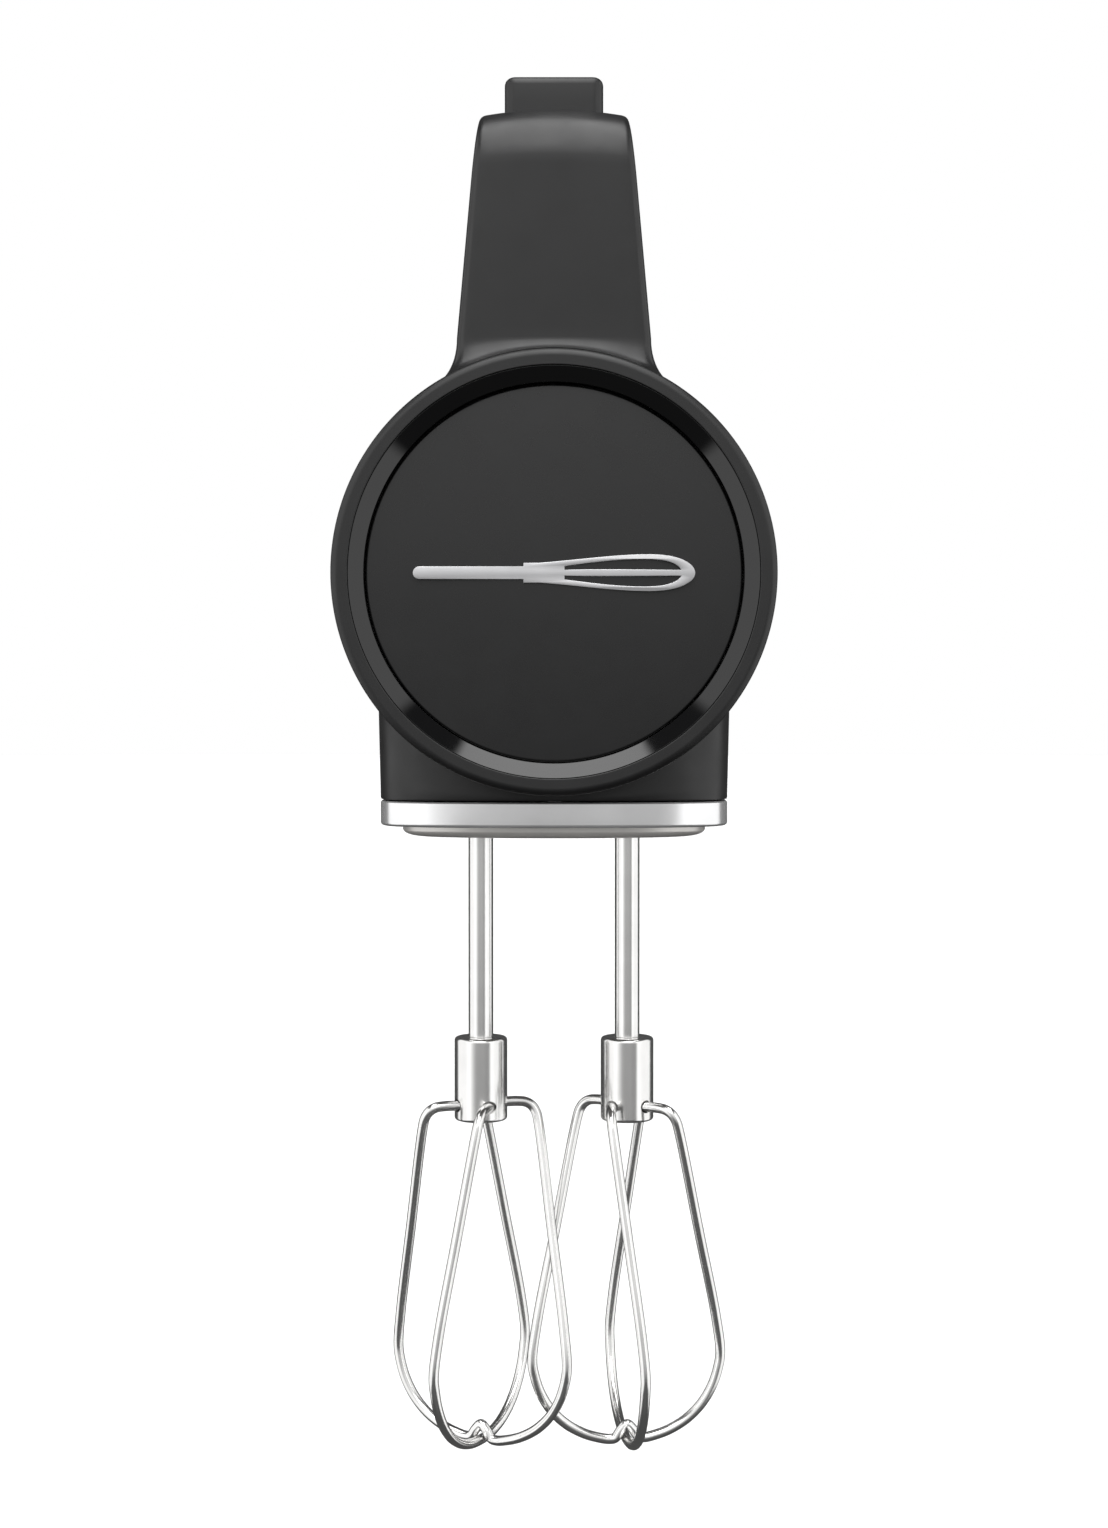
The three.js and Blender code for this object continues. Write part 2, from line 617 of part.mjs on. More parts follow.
function motorEndCap() {
  const rear = MOTOR_Y[1] + GAP;
  const plate = turnedY(ringProfile(2.2, MOTOR_R, rear, rear + 3), MOTOR_Z, 28);
  const bearing = turnedY(ringProfile(2.2, 4.4, rear - 1, rear + 6), MOTOR_Z, 14);
  const vents = [0, 1, 2, 3].map((i) => {
    const angle = Math.PI / 4 + i * Math.PI / 2;
    return pinY(10.5 * Math.cos(angle), MOTOR_Z + 10.5 * Math.sin(angle), rear - 1, rear + 4, 3, 8);
  });
  const brushArms = [-1, 1].map((side) => box([side * 7.6 - 2, side * 7.6 + 2], [rear - 7, rear + 1],
    [MOTOR_Z - 2, MOTOR_Z + 2]));
  return join(cut(plate, ...vents), bearing, ...brushArms);
}

function rotorCore() {
  const poles = 5;
  const pole = [
    [4.6, -0.62], [9.6, -0.26], [10.4, -0.5], [12.2, -0.5],
    [12.6, 0], [12.2, 0.5], [10.4, 0.5], [9.6, 0.26],
  ];
  const points = [];
  for (let i = 0; i < poles; i += 1) {
    const middle = 2 * Math.PI * i / poles;
    for (const [radius, turn] of pole) {
      points.push([radius * Math.cos(middle + turn), MOTOR_Z + radius * Math.sin(middle + turn)]);
    }
  }
  return cut(alongY(polygon(points), 26, 52), pinY(0, MOTOR_Z, 20, 60, 1.9, 16));
}

// Two-start worm: an oval section with two lobes, twisted along its axis.
function wormThread() {
  const corners = 12;
  const points = [];
  for (let i = 0; i < corners; i += 1) {
    const angle = 2 * Math.PI * i / corners;
    const radius = WORM_PITCH_R - 0.25 + 1.05 * Math.cos(WORM_STARTS * angle);
    points.push([radius * Math.cos(angle), radius * Math.sin(angle)]);
  }
  const length = 21;
  const geometry = extrude(polygon(points), length, { steps: 26 }).translate(0, 0, -length / 2);
  const places = geometry.attributes.position;
  for (let i = 0; i < places.count; i += 1) {
    const turn = 2 * Math.PI * places.getZ(i) / WORM_LEAD;
    const [x, y] = [places.getX(i), places.getY(i)];
    places.setXY(i, x * Math.cos(turn) - y * Math.sin(turn), x * Math.sin(turn) + y * Math.cos(turn));
  }
  geometry.applyMatrix4(new THREE.Matrix4().makeBasis(X, Z, Y.clone().negate()));
  return cut(solid(geometry.translate(0, 0, MOTOR_Z)), pinY(0, MOTOR_Z, -20, 20, 1.9, 16));
}

function coolingFan() {
  const blades = 6;
  const hub = turnedY(ringProfile(1.9, 5, 73, 79), MOTOR_Z, 12);
  const back = turnedY(ringProfile(1.9, 14.5, 78, 79.2), MOTOR_Z, 20);
  const vanes = [];
  for (let i = 0; i < blades; i += 1) {
    const angle = 2 * Math.PI * i / blades;
    const vane = box([4, 14], [72.5, 78.5], [-0.6, 0.6]).rotate([0, angle * 180 / Math.PI, 0]);
    vanes.push(vane.translate([0, 0, MOTOR_Z]));
  }
  return join(hub, back, ...vanes);
}

addNode('motor_can', motorCan(), 'can');
addNode('motor_end_cap', motorEndCap(), 'inner');
addNode('stator_magnet', turnedY(ringProfile(13.1, MOTOR_R - 1 - GAP, 24, 54), MOTOR_Z, 28), 'magnet');
addNode('motor_shaft', pinY(0, MOTOR_Z, -15.2, 80, 1.6, 14), 'steel');
addNode('rotor_core', rotorCore(), 'copper');
addNode('commutator', turnedY(ringProfile(1.9, 5, 53, 60), MOTOR_Z, 14), 'copper');
addNode('worm', wormThread(), 'brass');
addNode('cooling_fan', coolingFan(), 'inner');

// ---- gear case, bushes, gears and spindles ------------------------------------------------------
const CASE_X = 31.8;
const CASE_Y = 15.4;
const CASE_Z = [157, 176];

function gearCase() {
  const outer = alongZ(roundedRectangle(CASE_X, CASE_Y, 8), ...CASE_Z);
  const room = alongZ(roundedRectangle(CASE_X - 2, CASE_Y - 1.7, 7), CASE_Z[0] + 2.4, CASE_Z[1] + 2);
  const shaftHole = pinY(0, MOTOR_Z, 0, 30, 3.4, 16);
  const bushHole = pinY(0, MOTOR_Z, -30, 0, 3.9, 16);
  let tray = cut(outer, room, shaftHole, bushHole);
  for (const side of [-1, 1]) {
    const x = side * SPINDLE_X;
    tray = join(tray, pinZ(x, 0, 140, CASE_Z[0] + 1, 10.6, 18));
    tray = cut(tray, pinZ(x, 0, 130, 165, SPINDLE_R + 0.4, 18), pinZ(x, 0, 130, 146.4, 8.5, 18));
  }
  return tray;
}

function gearCaseCover() {
  const [bottom, top] = [CASE_Z[1] + GAP, CASE_Z[1] + 2.8];
  let cover = alongZ(roundedRectangle(CASE_X, CASE_Y, 8), bottom, top);
  for (const side of [-1, 1]) {
    const x = side * SPINDLE_X;
    cover = join(cover, pinZ(x, 0, bottom, 182, 10, 20));
    cover = cut(cover, pinZ(x, 0, 170, 190, 8.1, 20));
  }
  return cover;
}

// Gear blank with thin pointed teeth, twisted to follow the worm's thread.
function wormGear(x) {
  const pitchR = GEAR_TEETH * GEAR_MODULE / 2;
  const step = 2 * Math.PI / GEAR_TEETH;
  const [root, tip] = [pitchR - 1.35, pitchR + 0.75];
  const points = [];
  for (let i = 0; i < GEAR_TEETH; i += 1) {
    for (const [radius, part] of [[root, -0.3], [tip, -0.08], [tip, 0.08], [root, 0.3]]) {
      const angle = (i + 0.5 + part) * step;
      points.push([radius * Math.cos(angle), radius * Math.sin(angle)]);
    }
  }
  const face = 5;
  const geometry = extrude(polygon(points), face).translate(0, 0, -face / 2);
  const places = geometry.attributes.position;
  const twistPerMm = WORM_LEAD / (2 * Math.PI * WORM_PITCH_R * pitchR);
  for (let i = 0; i < places.count; i += 1) {
    const turn = TOOTH_LEAN * twistPerMm * places.getZ(i);
    const [u, v] = [places.getX(i), places.getY(i)];
    places.setXY(i, u * Math.cos(turn) - v * Math.sin(turn), u * Math.sin(turn) + v * Math.cos(turn));
  }
  const teeth = solid(geometry.translate(x, 0, MOTOR_Z));
  const hub = pinZ(x, 0, MOTOR_Z - 5, MOTOR_Z + 5, 8.4, 20);
  return cut(join(teeth, hub), pinZ(x, 0, 150, 190, SPINDLE_R + GAP, 20));
}

function spindle(x) {
  const [bottom, top] = [PLATE_BOTTOM + 0.5, 183];
  const tubeSolid = turnedZ(ringProfile(SPINDLE_BORE, SPINDLE_R, bottom, top), x, 0, 20);
  const slots = box([x - 4.1, x + 4.1], [-1.1, 1.1], [bottom - 1, 164.5]);
  return cut(tubeSolid, slots);
}

addNode('gear_case', gearCase(), 'inner');
addNode('gear_case_cover', gearCaseCover(), 'inner');
addNode('worm_bush', turnedY(ringProfile(1.9, 3.6, -CASE_Y, -CASE_Y + 3.4), MOTOR_Z, 14), 'brass');
addPair('lower_bush', 'brass', (x) => turnedZ(ringProfile(SPINDLE_R + GAP, 8.2, 140.2, 146.1), x, 0, 20));
addPair('upper_bush', 'brass', (x) => turnedZ(ringProfile(SPINDLE_R + GAP, 7.8, 176.6, 182), x, 0, 20));
addPair('gear', 'gear', wormGear);
addPair('spindle', 'steel', spindle);

// ---- ejector pins inside the spindles -----------------------------------------------------------
const SHAFT_TOP = 166;
addPair('eject_pin', 'steel', (x) => join(
  pinZ(x, 0, SHAFT_TOP + 0.4, 192, 2.7, 16),
  pinZ(x, 0, 191.4, FORK_Z[0] - GAP, 4.4, 20),
));

// ---- beaters ------------------------------------------------------------------------------------
// Angles are degrees about the beater's axis for the right beater; the left one is the mirror image,
// turned so that the two cages pass between each other.
const BEATERS = {
  left: { axis: -SPINDLE_X, hand: -1, phase: -26.6 },
  right: { axis: SPINDLE_X, hand: 1, phase: 9 },
};
const LOOPS = {
  hump: { turn: 0, twist: 47.6, cornerR: 12.8, holeLead: 7, shoulderZ: 22, humpHeight: 3.3 },
  plain: { turn: 90, twist: 27.5, cornerR: 12.5, holeLead: 18, shoulderZ: 23, humpHeight: 0 },
};
const HUMP_HALF = 3.3;
const BOWL_POWER = 2.2;          // squareness of the cage's rounded bottom

function polar(radius, angle, z) {
  return at(radius * Math.cos(radians(angle)), radius * Math.sin(radians(angle)), z);
}

// The arm of one half loop: its line from the collar hole to the corner.
function loopArm({ hand, phase }, { turn, twist, cornerR, holeLead }) {
  const corner = polar(cornerR, phase + turn - hand * twist, ARM_Z);
  const hole = polar(COLLAR_R, phase + turn - hand * (twist + holeLead), ARM_Z);
  const inward = new THREE.Vector3().subVectors(hole, corner).normalize();
  return { corner, hole, inward };
}

// Centre line of one wire loop, in the beater's own frame.
function loopCurve(beater, loop) {
  const { corner, hole, inward } = loopArm(beater, loop);
  const widest = beater.phase + loop.turn;
  const lowest = WIRE_R;
  const shoulder = polar(CAGE_R, widest, loop.shoulderZ);
  const downLine = new THREE.Vector3().subVectors(shoulder, corner).normalize();
  const armEnd = corner.clone().addScaledVector(inward, 4);
  const lineStart = corner.clone().addScaledVector(downLine, 4.6);
  const bend = new THREE.QuadraticBezierCurve3(armEnd, corner, lineStart);
  const bowl = (radius) => {
    const fall = (1 - (radius / CAGE_R) ** BOWL_POWER) ** (1 / BOWL_POWER);
    const rise = loop.humpHeight * (1 + Math.cos(Math.PI * radius / HUMP_HALF)) / 2;
    const swell = radius < HUMP_HALF ? rise : 0;
    return polar(radius, widest, loop.shoulderZ - (loop.shoulderZ - lowest) * fall + swell);
  };
  const half = [
    hole.clone().addScaledVector(inward, 1.3),
    ...bend.getPoints(4),
    shoulder.clone().addScaledVector(downLine, -26),
    shoulder.clone().addScaledVector(downLine, -6),
    ...[0.995, 0.97, 0.91, 0.8, 0.64, 0.45, 0.29, 0.19].map((part) => bowl(part * CAGE_R)),
    ...(loop.humpHeight ? [bowl(2.6), bowl(1.3)] : []),
  ];
  const turned = (point) => at(-point.x, -point.y, point.z);
  const points = [...half, bowl(0), ...half.map(turned).reverse()];
  return new THREE.CatmullRomCurve3(points, false, 'centripetal');
}

function beaterCollar(beater) {
  let collar = turnedZ([
    [SHAFT_R + GAP, COLLAR_Z[0]],
    [COLLAR_R - 0.5, COLLAR_Z[0]],
    [COLLAR_R, COLLAR_Z[0] + 0.5],
    [COLLAR_R, COLLAR_Z[1] - 0.6],
    [COLLAR_R - 0.6, COLLAR_Z[1]],
    [SHAFT_R + GAP, COLLAR_Z[1]],
    [SHAFT_R + GAP, COLLAR_Z[0]],
  ], 0, 0, 24);
  for (const loop of Object.values(LOOPS)) {
    const { hole, inward } = loopArm(beater, loop);
    const drill = bar(hole.clone().addScaledVector(inward, -3), hole.clone().addScaledVector(inward, 1.7),
      WIRE_R + GAP, 8);
    collar = cut(collar, drill, drill.rotate([0, 0, 180]));
  }
  return collar.translate([beater.axis, 0, 0]);
}

function beaterShaft({ axis }) {
  const shaft = turnedZ([
    [0, COLLAR_Z[0] + 0.4],
    [SHAFT_R, COLLAR_Z[0] + 0.4],
    [SHAFT_R, SHAFT_TOP - 6],
    [SHAFT_R - 0.6, SHAFT_TOP - 5.4],
    [SHAFT_R - 0.6, SHAFT_TOP - 4],
    [SHAFT_R, SHAFT_TOP - 3.4],
    [SHAFT_R, SHAFT_TOP - 1],
    [SHAFT_R - 1, SHAFT_TOP],
    [0, SHAFT_TOP],
  ], axis, 0, 20);
  return join(shaft, box([axis - 3.7, axis + 3.7], [-0.7, 0.7], [SHAFT_TOP - 14, SHAFT_TOP - 9]));
}

for (const [side, beater] of Object.entries(BEATERS)) {
  addNode(`beater_shaft_${side}`, beaterShaft(beater), 'steel');
  addNode(`beater_collar_${side}`, beaterCollar(beater), 'steel');
  for (const [name, loop] of Object.entries(LOOPS)) {
    const wire = tube(loopCurve(beater, loop), WIRE_R, 56, 6).translate([beater.axis, 0, 0]);
    addNode(`${name}_wire_${side}`, wire, 'steel');
  }
}

// ---- control board and its lead -----------------------------------------------------------------
function controlBoard() {
  const board = box([-20, 20], [14, 15.6], [193, 220]);
  const parts = [
    box([-16, -6], [15, 19], [206, 216]),
    pinY(8, 212, 15, 21, 4, 14),
    box([-9, 9], [15, 24.6], [196, 203]),
  ];
  return join(board, ...parts);
}

function switchLead() {
  const route = [
    at(11.2, 2.2, 270), at(11.4, -4, 269.5), at(11.4, -12, 266), at(11.4, -17.5, 258),
    at(11.2, -18, 248), at(11, -18, 238), at(10.6, -17, 228), at(10.6, -12, 219),
    at(10.6, -3, 213), at(10.6, 6, 209.6), at(10.6, 13.4, 208),
  ];
  return tube(new THREE.CatmullRomCurve3(route, false, 'centripetal'), 1.3, 26, 8);
}

addNode('control_board', controlBoard(), 'board');
addNode('switch_lead', switchLead(), 'lead');

// ---- rear cover with vents and a heel pad -------------------------------------------------------
const REAR_SPLIT_Z = BATTERY_FLOOR - 0.6;

function rearCover() {
  const disc = turnedY([
    [0, 93],
    [REAR_OPENING_R - 0.4, 93],
    [REAR_OPENING_R - 0.4, 97],
    [REAR_OPENING_R - 1.4, 98],
    [0, 98],
  ], BARREL_Z, 40);
  const above = box([-50, 50], [80, 110], [REAR_SPLIT_Z, 260]);
  const room = turnedY([
    [0, 90],
    [REAR_OPENING_R - 2.6, 90],
    [REAR_OPENING_R - 2.6, 95.6],
    [0, 95.6],
  ], BARREL_Z, 40);
  const hollow = cut(room, box([-50, 50], [80, 110], [REAR_SPLIT_Z - 2.2, 260]));
  const vents = [-2, -1, 0, 1, 2].map((i) => {
    const slit = roundedRectangle(11 - Math.abs(i), 1, 0.9, 0, MOTOR_Z + 4 + i * 4);
    return alongY(slit, 90, 100, { curveSegments: 2 });
  });
  return cut(disc, above, hollow, ...vents);
}

function heelPad() {
  const pad = new THREE.Shape();
  pad.absarc(0, BARREL_Z, 34, radians(212), radians(328));
  pad.absarc(0, BARREL_Z, 28.5, radians(328), radians(212), true);
  pad.closePath();
  return alongY(pad, 98 + GAP, 99.6, { curveSegments: 16 });
}

addNode('rear_cover', rearCover(), 'housing');
addNode('heel_pad', heelPad(), 'rubber');

// ---- battery pack: case, cap, cells and release button ------------------------------------------
// A disc about the barrel's axis with everything below the given height removed.
function upperSegment(radius, floor, from, to) {
  const shape = new THREE.Shape();
  const edge = Math.asin((floor - BARREL_Z) / radius);
  shape.absarc(0, BARREL_Z, radius, edge, Math.PI - edge);
  shape.closePath();
  return alongY(shape, from, to, { curveSegments: 20 });
}

function batteryCase() {
  const [front, rear] = BATTERY_Y;
  const shell = upperSegment(BATTERY_R, BATTERY_FLOOR, front, rear - 5);
  return cut(shell, upperSegment(BATTERY_R - 1.3, BATTERY_FLOOR + 1.2, front + 1.4, rear));
}

const RELEASE_Z = 211;

function batteryCap() {
  const [, rear] = BATTERY_Y;
  const cap = upperSegment(BATTERY_R, BATTERY_FLOOR, rear - 5 + GAP, rear);
  return cut(cap, alongY(roundedRectangle(8.4, 3.6, 3, 0, RELEASE_Z), 80, 110));
}

function releaseButton() {
  const [, rear] = BATTERY_Y;
  const face = alongY(roundedRectangle(8, 3.2, 2.6, 0, RELEASE_Z), rear - 3, rear - 0.2);
  const flange = box([-10, 10], [93.2 - 1.4, 93.2 - 0.2], [RELEASE_Z + 0.2, RELEASE_Z + 4.8]);
  const stem = box([-4, 4], [93.2 - 1, rear - 2.5], [RELEASE_Z + 0.2, RELEASE_Z + 2.8]);
  return join(face, flange, stem);
}

addNode('battery_case', batteryCase(), 'inner');
addNode('battery_cap', batteryCap(), 'housing');
addNode('release_button', releaseButton(), 'button');
['left', 'middle', 'right'].forEach((place, i) => {
  addNode(`battery_cell_${place}`, pinY((i - 1) * 18.6, CELL_Z, 28, 92, CELL_R, 18), 'cell');
});

// ---- the mixer, with its origin at the middle of the hand grip ----------------------------------
assembly.position.set(0, -GRIP_CENTRE[0], -GRIP_CENTRE[1]);
const mixer = new THREE.Group();
mixer.add(assembly);

export default mixer;
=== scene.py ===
"""Looks of the cordless hand mixer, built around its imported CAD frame.

Shapes are worked out in millimetres from the point under the beater axes at the cages' lowest height:
+Z is up, the nose points to -Y and the handle runs back along +Y. Places come from the boxes of the
CAD nodes.
"""

import math

import bmesh
import bpy
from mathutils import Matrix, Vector


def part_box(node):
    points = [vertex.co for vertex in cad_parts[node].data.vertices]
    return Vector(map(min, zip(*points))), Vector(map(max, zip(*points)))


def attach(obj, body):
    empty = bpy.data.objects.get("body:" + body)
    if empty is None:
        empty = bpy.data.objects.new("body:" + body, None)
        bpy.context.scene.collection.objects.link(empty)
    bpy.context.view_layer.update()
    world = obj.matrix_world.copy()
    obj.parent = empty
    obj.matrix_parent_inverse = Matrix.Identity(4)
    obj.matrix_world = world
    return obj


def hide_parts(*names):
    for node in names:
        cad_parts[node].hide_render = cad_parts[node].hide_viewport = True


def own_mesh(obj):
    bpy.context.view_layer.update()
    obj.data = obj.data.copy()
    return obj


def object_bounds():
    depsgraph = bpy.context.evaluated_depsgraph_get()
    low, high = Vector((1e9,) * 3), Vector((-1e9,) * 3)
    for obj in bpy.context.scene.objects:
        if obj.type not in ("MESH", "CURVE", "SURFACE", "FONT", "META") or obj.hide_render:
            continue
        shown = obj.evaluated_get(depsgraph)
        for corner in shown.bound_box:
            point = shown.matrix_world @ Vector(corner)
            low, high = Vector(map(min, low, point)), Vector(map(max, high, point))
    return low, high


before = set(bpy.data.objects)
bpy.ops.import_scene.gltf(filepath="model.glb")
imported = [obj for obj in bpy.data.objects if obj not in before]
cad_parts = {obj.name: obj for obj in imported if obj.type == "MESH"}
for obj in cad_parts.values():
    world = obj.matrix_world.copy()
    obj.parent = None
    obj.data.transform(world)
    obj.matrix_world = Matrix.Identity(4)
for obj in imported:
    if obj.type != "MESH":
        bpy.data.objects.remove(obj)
CAD_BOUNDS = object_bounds()
MM = 0.001
ORIGIN = Vector((0, sum(c.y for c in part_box("beater_shaft_left")) / 2, CAD_BOUNDS[0][2]))


def span(node):
    """The lowest and highest corner of a CAD node in millimetres."""
    return tuple((corner - ORIGIN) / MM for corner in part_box(node))


# ---- places taken from the frame ----
RING_LOW, RING_HIGH = span("front_ring")
BEZEL_LOW, BEZEL_HIGH = span("bezel_ring")
DISC_LOW, DISC_HIGH = span("front_disc")
HOUSING_LOW, HOUSING_HIGH = span("motor_housing")
BAND_LOW, BAND_HIGH = span("trim_band")
PLATE_LOW, PLATE_HIGH = span("bottom_plate")
COVER_HIGH = span("handle_cover")[1]
BUTTON_LOW, BUTTON_HIGH = span("eject_button")
SLIDER_LOW, SLIDER_HIGH = span("speed_slider")
REAR_HIGH = span("rear_cover")[1]
CAP_LOW, CAP_HIGH = span("battery_cap")

BARREL_Z = (RING_LOW.z + RING_HIGH.z) / 2
RING_R = RING_HIGH.x
NOSE_Y = RING_LOW.y
BARREL_R = HOUSING_HIGH.x
BARREL_FRONT = HOUSING_LOW.y
BARREL_REAR = HOUSING_HIGH.y
FACE_R = BEZEL_HIGH.x
DISC_R = DISC_HIGH.x
REAR_R = REAR_HIGH.x
BODY_HALF = BAND_HIGH.x
BODY_FRONT = BAND_LOW.y
BODY_REAR = BAND_HIGH.y
BODY_DRAFT = 0.03
PLATE_INSET = BODY_HALF - PLATE_HIGH.x
HANDLE_TOP = COVER_HIGH.z
HANDLE_REAR = COVER_HIGH.y
SPINDLE_X = (span("spindle_right")[0].x + span("spindle_right")[1].x) / 2
AXES = {"left": -SPINDLE_X, "right": SPINDLE_X}
WALL = 2.3  # thickness of the moulded shells
GAP = 0.3  # seam between neighbouring pieces


# ---- mesh helpers, all in millimetres ----
def at(x, y, z):
    """A place in millimetres."""
    return Vector((x, y, z))


def make_piece(name, rings, faces, sharp_deg=35):
    """A mesh object over rings of points, its faces pointing out and smooth up to an edge angle."""
    mesh = bpy.data.meshes.new(name)
    mesh.from_pydata([tuple(ORIGIN + p * MM) for ring in rings for p in ring], [], faces)
    work = bmesh.new()
    work.from_mesh(mesh)
    bmesh.ops.remove_doubles(work, verts=work.verts, dist=2e-7)
    bmesh.ops.recalc_face_normals(work, faces=work.faces)
    work.to_mesh(mesh)
    work.free()
    return placed(name, mesh, sharp_deg)


def placed(name, mesh, sharp_deg=35):
    """An object in the scene for a mesh."""
    made = bpy.data.objects.new(name, mesh)
    bpy.context.scene.collection.objects.link(made)
    shade(made, sharp_deg)
    return made


def shade(piece, sharp_deg=35):
    """Smooth shading, with edges over the given angle left sharp."""
    for face in piece.data.polygons:
        face.use_smooth = True
    piece.data.set_sharp_from_angle(angle=math.radians(sharp_deg))


def subtract(piece, cutter):
    """Cuts a solid out of a piece and removes it."""
    step = piece.modifiers.new("cut", "BOOLEAN")
    step.operation = "DIFFERENCE"
    step.solver = "EXACT"
    step.object = cutter
    graph = bpy.context.evaluated_depsgraph_get()
    mesh = bpy.data.meshes.new_from_object(piece.evaluated_get(graph))
    piece.modifiers.clear()
    piece.data = mesh
    bpy.data.objects.remove(cutter)
    shade(piece)


def join_pieces(name, *parts):
    """One object from several closed parts."""
    work = bmesh.new()
    for part in parts:
        work.from_mesh(part.data)
        bpy.data.objects.remove(part)
    mesh = bpy.data.meshes.new(name)
    work.to_mesh(mesh)
    work.free()
    return placed(name, mesh)


def between_rings(rings, loop=False):
    """Quads that join each ring of points to the next, and the last to the first where loop is true."""
    count = len(rings[0])
    faces = []
    for r in range(len(rings) if loop else len(rings) - 1):
        here, there = r * count, ((r + 1) % len(rings)) * count
        faces += [(here + i, here + (i + 1) % count, there + (i + 1) % count, there + i)
                  for i in range(count)]
    return faces


def loft(name, rings, loop=False, sharp_deg=35):
    """A skin over rings of points, closed by two caps or, where loop is true, on itself."""
    faces = between_rings(rings, loop)
    if not loop:
        count = len(rings[0])
        last = (len(rings) - 1) * count
        faces += [tuple(range(count)), tuple(last + i for i in range(count))]
    return make_piece(name, rings, faces, sharp_deg)


def rounded_path(corners, steps=6):
    """A path through (u, v, radius) corners, each corner turned into an arc of that radius."""
    path = []
    for i, (u, v, radius) in enumerate(corners):
        here = Vector((u, v))
        if not radius or i in (0, len(corners) - 1):
            path.append(here)
            continue
        before = (Vector(corners[i - 1][:2]) - here).normalized()
        after = (Vector(corners[i + 1][:2]) - here).normalized()
        half = before.angle(after) / 2
        start, end = (here + way * (radius / math.tan(half)) for way in (before, after))
        centre = here + (before + after).normalized() * (radius / math.sin(half))
        path += [centre + (start - centre).lerp(end - centre, k / steps).normalized() * radius
                 for k in range(steps + 1)]
    return path


def supported(path):
    """Adds points near both ends of each long run, so that smooth shading stays flat between them."""
    margin = 0.12
    full = []
    for start, end in zip(path, path[1:]):
        full.append(start)
        length = (end - start).length
        if length > 4 * margin:
            full += [start.lerp(end, margin / length), start.lerp(end, 1 - margin / length)]
    return full + [path[-1]]


def turned(name, corners, segments, upright=None):
    """A piece turned about the barrel's axis, or about an upright axis at (x, y). Corners are (radius,
    height, corner radius); a path that doesn't start on the axis closes on itself."""
    path = supported(rounded_path(corners))
    rings = []
    for k in range(segments):
        c, s = math.cos(2 * math.pi * k / segments), math.sin(2 * math.pi * k / segments)
        if upright:
            rings.append([at(upright[0] + p.x * c, upright[1] + p.x * s, p.y) for p in path])
        else:
            rings.append([at(p.x * c, p.y, BARREL_Z + p.x * s) for p in path])
    faces = between_rings(rings, loop=True)
    if path[0].x < 1e-9:
        faces = [face for i, face in enumerate(faces) if (i + 1) % len(path)]
    return make_piece(name, rings, faces)


def extruded(name, outline, low, high, axis="Z", bevel=0.0):
    """A solid of the given outline between two heights along Y or Z, both rims rounded by bevel."""
    count = len(outline)
    rings = [[at(u, v, h) if axis == "Z" else at(u, h, v) for u, v in outline] for h in (low, high)]
    faces = [tuple(range(count)), tuple(range(count, 2 * count))] + between_rings(rings)
    made = make_piece(name, rings, faces)
    if bevel:
        level = "XYZ".index(axis)
        work = bmesh.new()
        work.from_mesh(made.data)
        rims = [e for e in work.edges if abs(e.verts[0].co[level] - e.verts[1].co[level]) < 1e-8]
        bmesh.ops.bevel(work, geom=rims, offset=bevel * MM, segments=3, profile=0.5,
                        affect="EDGES", clamp_overlap=True)
        work.to_mesh(made.data)
        work.free()
        shade(made)
    return made


def cut(piece, outline, low, high, axis="Z"):
    """Cuts a straight hole of the given outline."""
    subtract(piece, extruded("cutter", outline, low, high, axis))


def rounded_rectangle(half_u, half_v, radius, u=0.0, v=0.0, steps=7):
    corners = []
    for k, (su, sv) in enumerate([(1, 1), (-1, 1), (-1, -1), (1, -1)]):
        for i in range(steps + 1):
            angle = (k + i / steps) * math.pi / 2
            corners.append((u + su * (half_u - radius) + radius * math.cos(angle),
                            v + sv * (half_v - radius) + radius * math.sin(angle)))
    return corners


def circle(radius, u=0.0, v=0.0, count=48):
    turns = [2 * math.pi * k / count for k in range(count)]
    return [(u + radius * math.cos(a), v + radius * math.sin(a)) for a in turns]


def quarter(steps):
    """Pairs of 1 - cosine and sine over a quarter turn."""
    turns = [math.pi / 2 * k / steps for k in range(steps + 1)]
    return [(1 - math.cos(a), math.sin(a)) for a in turns]


def quadratic(p0, p1, p2, t):
    return p0 * (1 - t) ** 2 + p1 * (2 * t * (1 - t)) + p2 * t ** 2


def cubic(p0, p1, p2, p3, t):
    s = 1 - t
    return p0 * s ** 3 + p1 * (3 * s * s * t) + p2 * (3 * s * t * t) + p3 * t ** 3


def bezier(steps, *corners):
    """Points along the quadratic or cubic curve that three or four (u, v) corners give."""
    ends = [Vector(corner) for corner in corners]
    curve = cubic if len(ends) == 4 else quadratic
    return [curve(*ends, k / steps) for k in range(steps + 1)]


def tube(name, points, radius, sides=20):
    """A round wire with flat ends along a dense path, its sections carried along without twist."""
    rings = []
    side = (points[1] - points[0]).orthogonal()
    for i, point in enumerate(points):
        along = (points[min(i + 1, len(points) - 1)] - points[max(i - 1, 0)]).normalized()
        side = (side - along * side.dot(along)).normalized()
        other = along.cross(side)
        turns = [2 * math.pi * k / sides for k in range(sides)]
        rings.append([point + (side * math.cos(a) + other * math.sin(a)) * radius for a in turns])
    return loft(name, rings, sharp_deg=60)


